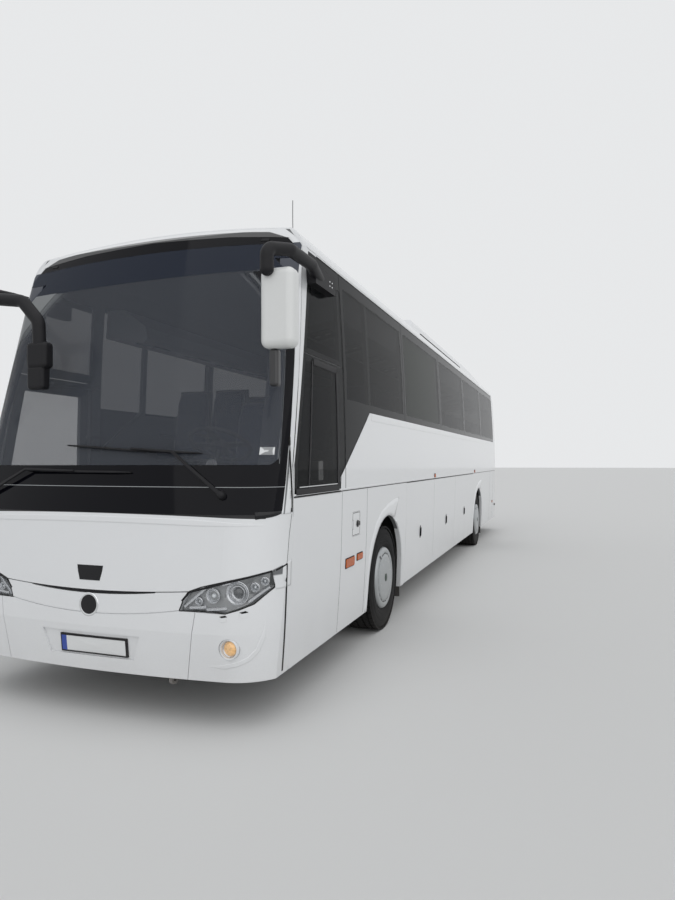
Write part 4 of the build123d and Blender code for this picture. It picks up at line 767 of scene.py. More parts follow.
def merge(name, things):
    """Join several pieces with the same finish and body into one."""
    work = bmesh.new()
    graph = bpy.context.evaluated_depsgraph_get()
    for thing in things:
        mesh = bpy.data.meshes.new_from_object(thing.evaluated_get(graph))
        work.from_mesh(mesh)
        bpy.data.meshes.remove(mesh)
    mesh = meshed(name, work)
    mesh.materials.append(things[0].data.materials[0])
    body = things[0]["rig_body"]
    for thing in things:
        bpy.data.objects.remove(thing)
    whole = show(name, mesh)
    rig.ride(whole, body)
    return whole


def loft(name, rings, finish, body=BODY, smooth=True, loop=False):
    """A closed form through rings that have the same number of points."""
    points = [point for ring in rings for point in ring]
    return solid(name, points, ring_faces(len(rings[0]), len(rings), loop), finish, body, smooth)


def ribbon(name, spots, width, rise, finish, body=BODY, sink=3, tip=0.0, loop=False):
    """A strip along points of a skin, each with its normal, raised from it with softened edges."""
    rings = []
    last = len(spots) - 1
    for i, (point, normal) in enumerate(spots):
        before = spots[i - 1][0] if i or loop else point
        after = spots[(i + 1) % len(spots)][0] if i < last or loop else point
        across = (after - before).normalized().cross(normal).normalized()
        share = min(1.0, tip + min(i, last - i) / last * 4) if tip else 1.0
        half, lift, low = width * share / 2000, rise * share / 1000, -sink / 1000
        section = ((-1, low), (-1, lift * 0.55), (-0.72, lift), (0.72, lift), (1, lift * 0.55), (1, low))
        rings.append([point + across * (u * half) + normal * v for u, v in section])
    return loft(name, rings, finish, body, smooth=False, loop=loop)


def run(surface, line, steps=24):
    """Points on a skin along a broken line of flat places, evenly spread, with their normals."""
    lengths = [math.dist(a, b) for a, b in zip(line, line[1:])]
    total = sum(lengths)
    spots = []
    for k in range(steps + 1):
        far = total * k / steps
        for (a, b), length in zip(zip(line, line[1:]), lengths):
            if far <= length + 1e-9:
                spots.append(surface(*[p + (q - p) * (far / length) for p, q in zip(a, b)]))
                break
            far -= length
    return spots


def strip(name, surface, line, steps, *looks, **options):
    """A ribbon along a line of flat places on a skin."""
    return ribbon(name, run(surface, line, steps), *looks, **options)


def strips(name, surface, lines, steps, *looks, **options):
    """Ribbons along several lines of a skin, as one piece."""
    return merge(name, [strip("strip", surface, line, steps, *looks, **options) for line in lines])


def frame_strip(name, surface, outline, steps, *looks, **options):
    """A ribbon along a closed outline on a skin."""
    return strip(name, surface, outline + outline[:1], steps, *looks, **options)


def pad(name, surface, outline, rise, finish, body=BODY, sink=4, edge=0.0):
    """A flat-topped piece with a given outline that sits on a skin."""
    count = len(outline)
    middle = tuple(sum(values) / count for values in zip(*outline))
    spots = [surface(*place) for place in (*outline, middle)]
    points = [point - normal * (sink / 1000) for point, normal in spots]
    points += [point + normal * (rise / 1000) for point, normal in spots]
    faces = []
    for i in range(count):
        j, up = (i + 1) % count, count + 1
        faces += [(i, j, up + j, up + i), (j, i, count), (up + i, up + j, up + count)]
    thing = solid(name, points, faces, finish, body)
    return soften(thing, edge) if edge else thing


def plate(name, surface, low, high, rise, finish, body=BODY, columns=12, rows=4):
    """A thin rectangular sheet that follows a curved skin, from a grid of rays between two flat places."""
    tops, feet = [], []
    for row in range(rows + 1):
        for column in range(columns + 1):
            shares = (column / columns, row / rows)
            point, normal = surface(*[a + (b - a) * share for a, b, share in zip(low, high, shares)])
            tops.append(point + normal * (rise / 1000))
            feet.append(point - normal * SINK)
    wide, count = columns + 1, len(tops)
    faces = []
    for row in range(rows):
        for column in range(columns):
            i = row * wide + column
            top_face = (i, i + 1, i + wide + 1, i + wide)
            faces += [top_face, tuple(count + corner for corner in top_face[::-1])]
    rim = list(range(columns)) + [row * wide + columns for row in range(rows)]
    rim += [rows * wide + columns - k for k in range(columns)] + [(rows - row) * wide for row in range(rows)]
    faces += [(a, b, count + b, count + a) for a, b in zip(rim, rim[1:] + rim[:1])]
    return solid(name, tops + feet, faces, finish, body)


def turned(name, profile, centre, axis, finish, body=BODY, segments=48):
    """A lathe piece: (distance along the axis, radius) points in millimetres, turned about an axis."""
    axis = Vector(axis).normalized()
    side = axis.orthogonal().normalized()
    other = axis.cross(side)
    points = []
    for k in range(segments):
        angle = CIRCLE * k / segments
        out = side * math.cos(angle) + other * math.sin(angle)
        points += [centre + axis * (a / 1000) + out * (r / 1000) for a, r in profile]
    mesh = mesh_of(name, points, ring_faces(len(profile), segments, loop=True), weld=True, collapse=True)
    thing = piece(name, mesh, finish, body, smooth=True)
    mesh.set_sharp_from_angle(angle=math.radians(40))
    return thing


def lathe(point, axis, suffix, body, *parts):
    """Turned pieces about one axis, each from a name, a finish, a number of segments and a profile."""
    return [turned(name + suffix, profile, point, axis, finish, body, segments)
            for name, finish, segments, profile in parts]


def tube(name, points, radius, finish):
    """A bent rod through points in metres, with its corners rounded by a smooth spline."""
    line = bpy.data.curves.new(name, "CURVE")
    line.dimensions = "3D"
    spline = line.splines.new("NURBS")
    spline.points.add(len(points) - 1)
    for place, point in zip(spline.points, points):
        place.co = (*point, 1)
    spline.order_u = 3
    spline.use_endpoint_u = True
    line.bevel_depth = radius / 1000
    line.bevel_resolution = 1
    line.use_fill_caps = True
    line.resolution_u = 8
    return piece(name, baked(show(name, line)), finish, smooth=True)


def slab(name, xs, stations, heights, finish, edge):
    """A plain block between two limits each way in millimetres, with softened edges."""
    points = [at(x, s, z) for x in sorted(xs) for s in stations for z in heights]
    faces = [(0, 1, 3, 2), (4, 6, 7, 5), (0, 4, 5, 1), (2, 3, 7, 6), (0, 2, 6, 4), (1, 5, 7, 3)]
    return soften(solid(name, points, faces, finish), edge)


def along(line, share):
    """The place at a share of the way along a line of equal steps."""
    step = min(int(share * (len(line) - 1)), len(line) - 2)
    part = share * (len(line) - 1) - step
    return [a + (b - a) * part for a, b in zip(line[step], line[step + 1])]


def quilt(name, surface, inner, outer, rise, finish, rows, columns):
    """A thin cover between two lines of one skin, which follows the skin at every point between them."""
    rings = []
    for row in range(rows + 1):
        limits = [along(line, row / rows) for line in (inner, outer)]
        spots = [surface(*[a + (b - a) * k / columns for a, b in zip(*limits)]) for k in range(columns + 1)]
        tops = [point + normal * (rise / 1000) for point, normal in spots]
        rings.append(tops + [point - normal * SINK for point, normal in reversed(spots)])
    return loft(name, rings, finish, smooth=True)


def rectangle(a0, a1, z0, z1):
    return [(a0, z0), (a1, z0), (a1, z1), (a0, z1)]


def rounded(a0, a1, z0, z1, cut):
    """A rectangle with cut corners."""
    return [(a0 + cut, z0), (a1 - cut, z0), (a1, z0 + cut), (a1, z1 - cut), (a1 - cut, z1), (a0 + cut, z1),
            (a0, z1 - cut), (a0, z0 + cut)]


print("skins and tools are ready")

# %% [markdown]
# ## Repeating small pieces
# A coach repeats many small things: tread blocks, nuts, rivets, grille slats, seats. Each could be copied
# by a loop that adds object after object. Geometry Nodes place one unit on many points instead, each point
# with its own turn, and the result is baked to one plain mesh for its body.

# %% A node tree that sets a unit on points


def repeat_tree():
    """Instances of one object on the points of a mesh, turned by each point's own angles and made real."""
    tree = bpy.data.node_groups.new("repeat_unit", "GeometryNodeTree")
    for label, kind in (("Points", "Geometry"), ("Unit", "Object"), ("Finish", "Material")):
        tree.interface.new_socket(label, in_out="INPUT", socket_type="NodeSocket" + kind)
    tree.interface.new_socket("Pieces", in_out="OUTPUT", socket_type="NodeSocketGeometry")
    kinds = ("NodeGroupInput", "GeometryNodeObjectInfo", "GeometryNodeInputNamedAttribute", "NodeGroupOutput",
             "FunctionNodeEulerToRotation", "GeometryNodeInstanceOnPoints", "GeometryNodeRealizeInstances",
             "GeometryNodeSetMaterial")
    given, unit, angles, result, turn, place, real, coat = (tree.nodes.new(kind) for kind in kinds)
    angles.data_type = "FLOAT_VECTOR"
    angles.inputs["Name"].default_value = "turn"
    for source, label, goal, entry in (
            (given, "Points", place, "Points"), (given, "Unit", unit, "Object"),
            (unit, "Geometry", place, "Instance"), (angles, "Attribute", turn, 0),
            (turn, 0, place, "Rotation"), (place, 0, real, 0), (real, 0, coat, "Geometry"),
            (given, "Finish", coat, "Material"), (coat, 0, result, 0)):
        tree.links.new(source.outputs[label], goal.inputs[entry])
    return tree


repeater = repeat_tree()


def repeat(name, unit, places, finish, body=BODY, smooth=False):
    """One mesh of a unit at many places, each a point in metres and an Euler turn. The unit is used up."""
    points = bpy.data.meshes.new(name)
    points.from_pydata([tuple(point) for point, turn in places], [], [])
    turns = points.attributes.new("turn", "FLOAT_VECTOR", "POINT")
    turns.data.foreach_set("vector", [angle for point, turn in places for angle in turn])
    holder = show(name, points)
    nodes = holder.modifiers.new("repeat", "NODES")
    nodes.node_group = repeater
    slots = {item.name: item.identifier for item in repeater.interface.items_tree if item.in_out == "INPUT"}
    nodes[slots["Unit"]] = unit
    nodes[slots["Finish"]] = finish.material
    mesh = baked(holder)
    bpy.data.objects.remove(unit)
    return piece(name, mesh, finish, body, smooth)


def unit_mesh(name, points, faces):
    """A small object to be repeated, from points in millimetres about its own centre."""
    return show(name, mesh_of(name, [[value / 1000 for value in point] for point in points], faces))


def block_unit(x, y, z, slope=0.0):
    """A block of three half sizes, its top narrower by the slope."""
    rings = [(x, y, -z), (x - slope, y - slope, z)]
    points = [(i * a, j * b, c) for a, b, c in rings for i, j in ((-1, -1), (1, -1), (1, 1), (-1, 1))]
    return unit_mesh("block_unit", points, ring_faces(4, 2))


def ring_unit(stack, sides):
    """A small turned unit about its z axis, from (height, radius) steps in millimetres."""
    points = [(radius * math.cos(CIRCLE * k / sides), radius * math.sin(CIRCLE * k / sides), height)
              for height, radius in stack for k in range(sides)]
    return unit_mesh("ring_unit", points, ring_faces(sides, len(stack)))


def laid(point, normal, lift=0.0):
    """A place on a skin, and the turn that sets a unit's own up along the skin's normal."""
    return point + normal * lift, tuple(Vector((0, 0, 1)).rotation_difference(normal).to_euler())


print("repeat tree has", len(repeater.nodes), "nodes")

# %% [markdown]
# ## The face of the coach
# Under the windscreen a plain white mask holds a thin air slot, a black camera cover and a round badge.
# They could be drawn into the paint, but on the coach they are separate mouldings with their own edges. So
# each is a thin solid on the skin. The badge is a plain dark disc in a bright ring.

# %% Slot, cover and badge
SLOT_HALF, SLOT_END, SLOT_SAG = 500, 854, 26
slot_spots = []
for x in range(-492, 493, 41):
    z = SLOT_END - SLOT_SAG * (1 - (x / SLOT_HALF) ** 2)
    upper, slope = front(x, z + 30)
    lower = front(x, z - 30)[0]
    slot_spots.append(((upper + lower) / 2 - slope * 0.03, slope))
ribbon("air_slot", slot_spots, 31.5, 22, moulded_black)
pad("camera_cover", front, [(-104, 994), (104, 994), (96, 950), (80, 896), (-80, 896), (-96, 950)], 2.5,
    gloss_black, edge=1.2)
lathe(*front(0, 738), "", BODY,
      ("badge_ring", chrome, 48, [(-8, 78), (0, 78), (1.8, 75), (1.8, 68), (0.6, 63), (-8, 63)]),
      ("badge_disc", gloss_black, 48, [(-8, 0), (-8, 64), (0.4, 64), (1.4, 40), (1.8, 0)]))
print("slot of", len(slot_spots), "points")

# %% [markdown]
# ### Number plate
# A plate is a pressed sheet in a black carrier, here left blank. It could lie in the paint as a white
# rectangle. A carrier with a rim and a slightly proud sheet gives the two fine shadows that make it read as
# a plate.

# %% Number plate


def number_plate(prefix, surface, body, lift, *limits):
    """A black carrier, a blank white sheet and a blue band, each a little prouder than the one before."""
    looks = (("carrier", 0, moulded_black, 2), ("sheet", 2, plate_white, 0.8), ("band", 2.6, plate_blue, 0))
    for (word, rise, finish, edge), sides in zip(looks, limits):
        pad(f"{prefix}plate_{word}", surface, rectangle(*sides), lift + rise, finish, body, edge=edge)


number_plate("", front, BODY, 11, (-242, 292, 408, 532), (-233, 283, 417, 523), (-231, -190, 419, 521))
merge("plate_rim", [
    pad("rim_part", front, rectangle(*sides), 14.5, moulded_black)
    for sides in ((-234, 284, 415, 420), (-234, 284, 520, 525), (-235, -230, 416, 524),
                  (279, 284, 416, 524))])

# %% [markdown]
# ## Headlamps and the corners over them
# Each headlamp is a clear cover over a bright bed with a large projector, a smaller bowl and three little
# ones. A picture of it on the surface would go flat from the side. Real depth costs little: a bed set back
# behind the clear solid of the CAD, and bowls turned on a lathe, each on its own axis. Where the lamp and
# the windscreen curl round the corner, white and black covers that follow the skin close them off.

# %% Headlamp beds and bowls
HEADLAMP = [(671, 738), (700, 812), (735, 861), (820, 892), (1000, 936), (1236, 987), (1228, 880),
            (1206, 856), (1140, 790), (1060, 757), (979, 733), (900, 742), (800, 742)]
BROW = ((690, 800), (738, 857), (1000, 929), (1226, 985))
WEBS = (((700, 760), (840, 880)), ((850, 752), (985, 765)), ((950, 905), (1060, 935)),
        ((1090, 950), (1235, 985)), ((735, 760), (845, 768)), ((1110, 800), (1215, 885)))
LAMPS = ((1050, 858, 74, 12, 0.42, (0.8, 0.6)), (894, 838, 47, 14, 0.3, (0.75,)),
         (1145, 890, 30, 13, 0.3, (0.7,)), (1192, 922, 27, 14, 0.3, (0.7,)), (800, 800, 26, 16, 0.3, (0.7,)))
CAP_TOP = [(-2584, 990), (-2540, 1004), (-2500, 1014), (-2466, 1022), (-2394, 1034)]
CAP_FOOT = [(s, 866) for s in (-2562, -2530, -2498, -2466, -2394)]
reflector = Finish("lamp_reflector", (0.62, 0.63, 0.65), rough=0.25, metallic=0.7, dust=0.0, grain_size=60,
                   bump=0.6)
bulb = Finish("bulb_glass", (0.75, 0.78, 0.80), rough=0.05, dust=0.0, bump=0.0, coat=1.0)
lamp_bed_grey = Finish("lamp_bed", (0.30, 0.305, 0.31), rough=0.3, metallic=0.4, dust=0.0, grain_size=40,
                       bump=0.7)
projector = Finish("projector_glass", (0.035, 0.037, 0.042), rough=0.04, dust=0.0, bump=0.0, coat=1.0)


def on_side(side, line):
    """A line of (across, height) places on the left or, mirrored, on the right."""
    return [(side * x, z) for x, z in line]


def towards(outline, share):
    """The outline drawn towards its middle."""
    x, z = (sum(values) / len(outline) for values in zip(*outline))
    return [(x + (a - x) * share, z + (b - z) * share) for a, b in outline]


def lamp(name, finish, side, x, z, r, depth, share, rims):
    """A bright bowl with rims and a dome of glass, set behind the cover."""
    point, normal = front(side * x, z)
    aim = (normal + Vector((0, -1.6, 0))).normalized()
    centre = point - normal * (depth / 1000)
    bowl = [(0, r), (4, r), (5, r - 3), (0, r - 6), (-18, r * 0.66), (-28, r * 0.4), (-30, 0.5), (-34, 0.5),
            (-32, r * 0.45), (-20, r * 0.75)]
    profiles = [bowl] + [[(-10, r * k), (-5, r * k), (-4, r * k - 2.5), (-10, r * k - 3)] for k in rims]
    g = r * share
    glass = [(-30, 0.3), (-30, g), (-12, g), (-5, g * 0.8), (-1, g * 0.4), (0, 0.3)]
    return ([turned("bowl", profile, centre, aim, reflector, segments=40) for profile in profiles],
            turned(name, glass, centre, aim, finish, segments=24))


for side, word in HANDS:
    shape = on_side(side, HEADLAMP)
    rim_line = towards(shape, 0.995)
    seal = run(front, rim_line + rim_line[:1], 150)[:-1]
    ribbon("lamp_seal_" + word, seal, 7, 1.6, rubber, loop=True)
    corner = flank(corner_skin, side)
    quilt("lamp_end_cap_" + word, corner, CAP_TOP, CAP_FOOT, 2.4, lacquer, 12, 10)
    strip("lamp_wedge_" + word, corner, [(-2562, 986), (-2466, 1016)], 12, 13, 3.0, rubber)
    strip("lamp_brow_" + word, front, on_side(side, BROW), 40, 13, 2.4, gloss_black)
    pad("lamp_bed_" + word, front, towards(shape, 0.955), -34, lamp_bed_grey, sink=52)
    parts = lamp("projector_" + word, projector, side, *LAMPS[0])[0]
    domes = []
    for numbers in LAMPS[1:]:
        bowls, glass = lamp("dome", bulb, side, *numbers)
        parts += bowls
        domes.append(glass)
    parts += [strip("web", front, on_side(side, line), 6, 16, -17, reflector, sink=34) for line in WEBS]
    merge("lamp_bowls_" + word, parts)
    merge("lamp_domes_" + word, domes)
print("headlamps have", len(LAMPS), "bowls each")

# %% [markdown]
# ### Fog lamps, washers, the bumper's crease and the windscreen's corners
# Low in each bumper corner sits a round fog lamp, two washer covers and a pressed crease that curls round
# the lamp. The warm lamp could be a flat orange disc. A bowl, a dome and a faint light of its own keep it
# round from all sides. Above, a white cover and a rubber bead lie over the foot of the pillar, and a black
# one ends the windscreen's foot.

# %% Fog lamps, washers, crease and corners
WASHER = ((-24, -16), (0, -22), (24, -14), (24, 12), (10, 18), (-20, 14))
NOTCH = ((-22, 14), (12, 22), (26, 13), (14, 10), (-8, 6))
CREASE = ((867, 398), (960, 404), (1050, 424), (1110, 452), (1152, 500), (1180, 580), (1196, 690))
BORDER = [(-2520, 1338), (-2505, 1370), (-2489, 1430), (-2458, 1545), (-2428, 1680), (-2392, 1836)]
PILLAR_EDGE = [(-2398, z) for s, z in BORDER[:-1]] + [(-2391, 1836)]
FOOT_LOW = [(-2664, 1311), (-2630, 1317), (-2596, 1321), (-2560, 1328), (-2516, 1342)]
warm = Finish("warm_lamp", (0.70, 0.40, 0.16), rough=0.12, metallic=0.3, dust=0.0, grain_size=70, bump=0.5,
              tone=0.6, coat=0.9)
warm.set("Emission Strength", 0.3)
warm.link(warm.mix(warm.fleck, (0.95, 0.62, 0.28), (0.55, 0.26, 0.08)), "Emission Color")
for side, word in HANDS:
    lathe(front(side * 1000, 514)[0], (0, -1, 0), word, BODY,
          ("fog_ring_", lacquer, 40, [(-6, 64.5), (3, 64.5), (5, 60), (2, 54), (-14, 51), (-22, 51),
                                      (-22, 64.5)]),
          ("fog_bowl_", reflector, 40, [(-20, 51), (-14, 50), (-24, 40), (-34, 22), (-38, 0.5), (-42, 0.5),
                                        (-42, 51)]),
          ("fog_dome_", warm, 32, [(-30, 0.4), (-30, 43), (-18, 43), (-10, 34), (-5, 18), (-3.5, 0.4)]))
    covers = []
    for x, z in ((966, 702), (1084, 728)):
        shape, notch = ([(side * (x + a), z + b) for a, b in outline] for outline in (WASHER, NOTCH))
        covers.append(pad("washer", front, shape, 3.2, lacquer, edge=1.5))
        pad(f"washer_notch_{word}_{x}", front, notch, 3.8, rubber)
    merge("washers_" + word, covers)
    corner = flank(corner_skin, side)
    quilt("screen_corner_" + word, corner, BORDER, PILLAR_EDGE, 3.0, lacquer, 24, 14)
    strip("screen_bead_" + word, corner, [(-2409, 1345), (-2407, 1700), (-2394, 1836)], 20, 17, 6.0, rubber)
    quilt("foot_corner_" + word, corner, FOOT_LOW, [(s, 1358) for s, z in FOOT_LOW], 2.6, gloss_black, 12, 1)
    strip("bumper_crease_" + word, front, on_side(side, CREASE), 40, 30, 6.5, lacquer, tip=0.15)
lip_line = [(x, 1300 - x * x * 0.000018) for x in range(-1180, 1181, 118)]
strip("mask_lip", front, lip_line, 60, 40, 5.0, lacquer, tip=0.3)
print("fog lamps are in")

# %% [markdown]
# ## Wipers
# Two pantograph wipers rest low on the glass. They could be one bent rod each, but a wiper is a stiff arm
# on a pivot and a thin blade that follows the curved glass. So the blade is a strip laid on the skin, and
# the arm is a tapering bar that rises from the pivot and comes down on the blade's middle.

# %% Wipers
ARM_LIFTS = (24, 34, 38, 30, 22)
ARM_WIDTHS = (30, 25, 20, 16, 13)
PIVOT = [(-4, 0.5), (-4, 30), (18, 27), (34, 22), (40, 14), (41, 0.5)]


def wiper(name, pivot, knee, tip, blade):
    """Arm from a pivot over a knee to the blade's middle, and a blade between two ends."""
    spots = run(front, blade, 28)
    ribbon("wiper_lip_" + name, spots, 7, 12, rubber, sink=-1)
    raised = [(point + normal * 0.012, normal) for point, normal in spots]
    ribbon("wiper_blade_" + name, raised, 15, 11, moulded_black, sink=1, tip=0.4)
    line = [pivot, along([pivot, knee], 0.5), knee, along([knee, tip], 0.5), tip]
    rings = []
    for i, (place, lift, width) in enumerate(zip(line, ARM_LIFTS, ARM_WIDTHS)):
        point, normal = front(*place)
        ahead = front(*line[min(i + 1, 4)])[0] - front(*line[max(i - 1, 0)])[0]
        across = ahead.normalized().cross(normal).normalized() * (width / 2000)
        base, up = point + normal * (lift / 1000), normal * 0.012
        rings.append([base - across, base - across * 0.8 + up, base + across * 0.8 + up, base + across])
    soften(loft("wiper_arm_" + name, rings, moulded_black, smooth=False), 2)
    turned("wiper_pivot_" + name, PIVOT, *front(*pivot), moulded_black, segments=24)


wiper("left", (924, 1459), (540, 1728), (216, 1756), [(-335, 1789), (216, 1748), (743, 1726)])
wiper("right", (-960, 1452), (-640, 1612), (-210, 1606), [(-658, 1614), (-200, 1605), (248, 1601)])
merge("header_notches", [
    pad("notch", front, [(x - 34, z - 6), (x + 30, z - 10), (x + 34, z + 8), (x - 20, z + 12)], 4,
        moulded_black)
    for x, z in ((930, 3276), (-980, 3272))])
pad("blank_sticker", front, rectangle(1118, 1196, 1718, 1768), 0.8, plate_white)
print("wipers rest on the glass")

# %% [markdown]
# ## Trim along the sides
# The flanks of a coach are plain sheet with a few long lines: the seal over the panes, a rain strip under
# them, the belt line over the flaps and thin joints between panels. They could be grooves in the paint. As
# strips laid on the skin they keep their own gloss and catch a line of light, and both sides come from one
# list.

# %% Long strips
PILLAR_LINE = [(-2367, 1330), (-2367, 1430), (-2367, 1650), (-2187, 2550), (-2060, 3185)]
BUMPER_GAP = ([(-2470, 326), (-2464, 560), (-2464, 862)], 24), ([(-2466, 872), (-2466, 1016)], 6)
FILLER_GAP = ([(-2364, 330), (-2364, 925)], 12), ([(-2364, 945), (-2364, 1310)], 8)


def pieced(surface, *parts):
    """Points on a skin along a line that is given in parts, each with its steps."""
    return [spot for line, steps in parts for spot in run(surface, line, steps)]


for sign, word, surface in SIDES:
    start = -1800 if sign > 0 else -1330
    strip("top_seal_" + word, surface, [(start, 3208), (9556, 3208)], 90, 9, 2.2, rubber)
    joints = [[(s, 2130 if s > -1000 else 1445), (s, 3200)] for s in PANE_SEAMS if sign > 0 or s > -1000]
    strips("pane_joints_" + word, surface, joints, 20, 9, 1.0, rubber)
    corner = flank(corner_skin, sign)
    ribbon("bumper_gap_" + word, pieced(corner, *BUMPER_GAP), 20, 3.2, rubber)
    strip("corner_gap_" + word, corner, [(-2466, 1016), (-2440, 1200), (-2405, 1330)], 12, 5, 0.8, rubber)
    filler = [(point + Vector((0, -0.017, 0)), normal) for point, normal in pieced(surface, *FILLER_GAP)]
    ribbon("corner_filler_" + word, filler, 16, 0.8, lacquer)
for name, line, steps, width, rise, finish in (
        ("rain_strip_left", [(-560, 2076), (9540, 2076)], 80, 66, 3.2, lacquer),
        ("slope_seal", [(-1440, 1440), (-1440, 1551), (-612, 2116), (9556, 2116)], 90, 7, 1.6, rubber),
        ("belt_line_left", [(-2374, 1436), (9800, 1442)], 110, 7, 1.8, rubber),
        ("belt_rib_left", [(-2374, 1450), (9800, 1456)], 110, 13, 3.4, lacquer)):
    strip(name, left, line, steps, width, rise, finish)
PANEL_JOINTS = [[(-712, 1432), (-716, 1250), (-738, 322)], [(8810, 1432), (8810, 330)],
                [(9440, 1432), (9440, 330)]]
door_joint = [[(-1400, 1432), (-1404, 853), (-1428, 316)]]
strips("panel_joints_left", left, door_joint + PANEL_JOINTS, 16, 3.2, 0.7, rubber)
# The dark gap at the front corner is filled by a seal a little under the skin
pillar_spots = [(point + Vector((0, -0.014, 0)) - normal * 0.002, normal)
                for point, normal in run(left, PILLAR_LINE, 40)]
ribbon("corner_seal_left", pillar_spots, 7, 1.0, rubber)
print("strips are on")

# %% [markdown]
# ### Driver's window
# The driver's pane sits in a black frame with a sliding half. The frame could be painted on the glass, but
# it stands a little proud and its post and sill are matt, so it is built as four bars and a slanted slide
# rail.

# %% Driver's window frame
merge("driver_window_frame", [
    strip("bar", left, line, steps, width, rise, moulded_black) for line, steps, width, rise in (
        ([(-1985, 2392), (-1478, 2386)], 10, 46, 5), ([(-1496, 2400), (-1496, 1478)], 16, 44, 5),
        ([(-2340, 1466), (-1480, 1466)], 14, 42, 5), ([(-2004, 2396), (-2116, 1480)], 16, 24, 4))])
strip("driver_window_seal", left, [(-2150, 2435), (-1325, 2435)], 16, 15, 1.6, gloss_black)
strip("driver_window_rail", left, [(-2290, 1500), (-1530, 1500)], 12, 9, 7, chrome)

# %% [markdown]
# ### Markers, locks and handles
# Amber side markers, the fuel door's lock and upright black flap handles break the white side. Each could
# be one shared stamp, and the handles nearly are: one outline laid on every flap, riding on the flap that
# it opens.

# %% Markers, locks and handles
REAR_MARKERS = ((2360, 2440, 1452, 1500), (6250, 6330, 1452, 1500), (9300, 9400, 700, 745))
FRONT_MARKERS = {1: ((-1284, -1064, 800, 872), (-986, -832, 824, 876)), -1: ((-1284, -1140, 830, 876),)}
HANDLES = (("left_1", left, 1540), ("left_2", left, 3302), ("left_3", left, 5040),
           ("right_1", right_side, 1580), ("right_2", right_side, 3215))


def handle(names, surface, body, bed, bed_rise, grip, grip_rise, edge=4):
    """A flat bed and a raised grip, each from four limits and a corner cut."""
    pad(names.format("bed"), surface, rounded(*bed), bed_rise, gloss_black, body, edge=1)
    pad(names.format("grip"), surface, rounded(*grip), grip_rise, moulded_black, body, edge=edge)


for sign, word, surface in SIDES:
    frames, glows = [], []
    for s0, s1, z0, z1 in FRONT_MARKERS[sign] + REAR_MARKERS:
        frames.append(pad("marker_frame", surface, rounded(s0 - 7, s1 + 7, z0 - 7, z1 + 7, 8), 2.5, rubber))
        glows.append(pad("marker", surface, rounded(s0, s1, z0, z1, 8), 9, amber, edge=3))
    merge("marker_frames_" + word, frames)
    merge("markers_" + word, glows)
    pad("rear_catch_" + word, surface, rounded(9812, 9868, 604, 646, 6), 18, moulded_black, edge=3)
for name, surface, s in HANDLES:
    handle("handle_{}_" + name, surface, "luggage_flap_" + name, (s - 29, s + 29, 736, 888, 16), 3,
           (s - 15, s + 15, 758, 862, 8), 14)
frame_strip("service_flap_line", left, rounded(-1124, -930, 1049, 1236, 6), 70, 4, 0.8, rubber,
            "service_flap")
lathe(*left(-992, 1140), "", "service_flap",
      ("service_lock", gloss_black, 28, [(-3, 0.5), (-3, 30), (6, 30), (9, 24), (9, 9), (5, 7), (5, 0.5)]))
pad("service_catch", left, rounded(-958, -936, 1122, 1158, 6), 8, gloss_black, "service_flap", edge=2)
print(len(HANDLES), "flap handles")

# %% [markdown]
# ## Wheel arch lips
# Each arch has a flared white lip that leaves the arch at its top and runs out rearwards as a thin blade. A
# plain ring would miss that sweep. The lip is a band between two lines on the skin: the arch's own circle
# inside, and outside the swept line read from the photograph.

# %% Arch lips
ARCH_RADIUS, EDGE_RADIUS = 624, 652
SWEEP = ((-694, 312), (-668, 500), (-640, 760), (-560, 930), (-420, 1090), (-240, 1186), (0, 1248),
         (220, 1277), (410, 1292))
DOOR_SWEEP = ((-694, 312), (-672, 500), (-650, 700), (-590, 860), (-460, 1010), (-240, 1140), (0, 1185),
              (220, 1150), (330, 1085))


def band(name, surface, inner, outer, rise, steps=48):
    """A raised band between two lines on a skin, full along its middle and thin at its outer edge."""
    rings = []
    section = ((0, -8), (0, rise), (0.3, rise + 1.5), (0.75, rise * 0.6), (1, 0.4), (1, -6))
    for (a, n), (b, m) in zip(run(surface, inner, steps), run(surface, outer, steps)):
        rings.append([a.lerp(b, share) + n.lerp(m, share) * (lift / 1000) for share, lift in section])
    loft(name, rings, lacquer, smooth=True)


def arch(station, radius, first, last, count=24):
    """Places on the circle of an arch between two angles in degrees."""
    angles = [math.radians(first + (last - first) * k / count) for k in range(count + 1)]
    return [(station + radius * math.cos(angle), HUB_HEIGHT + radius * math.sin(angle)) for angle in angles]


for sign, word, surface in SIDES:
    for name, station in (("front", 0), ("rear", REAR_AXLE)):
        inner = [(station - 643, 312)] + arch(station, ARCH_RADIUS, 176, 62)
        sweep = SWEEP
        if sign < 0 and name == "front":
            sweep = DOOR_SWEEP
        else:
            inner = inner[:-3] + [(station + 250, 1092), (station + 410, 1290)]
        band(f"arch_lip_{name}_{word}", surface, inner, [(station + s, z) for s, z in sweep], 9)
        back_inner = arch(station, ARCH_RADIUS, 58, 4) + [(station + 646, 312)]
        back_outer = arch(station, EDGE_RADIUS, 58, 4) + [(station + 676, 312)]
        band(f"arch_edge_{name}_{word}", surface, back_inner, back_outer, 6, 30)
print("four arch lips")

# %% [markdown]
# ## Tyres and wheel covers
# A coach tyre is a broad, nearly square ring with ribs round its tread, sipes across them and a plain,
# slightly ribbed sidewall. The tread could be a bump in the paint, but its grooves show at the outline of
# the wheel. So the carcass is turned on a lathe and the ribs are rows of blocks set round it by Geometry
# Nodes.

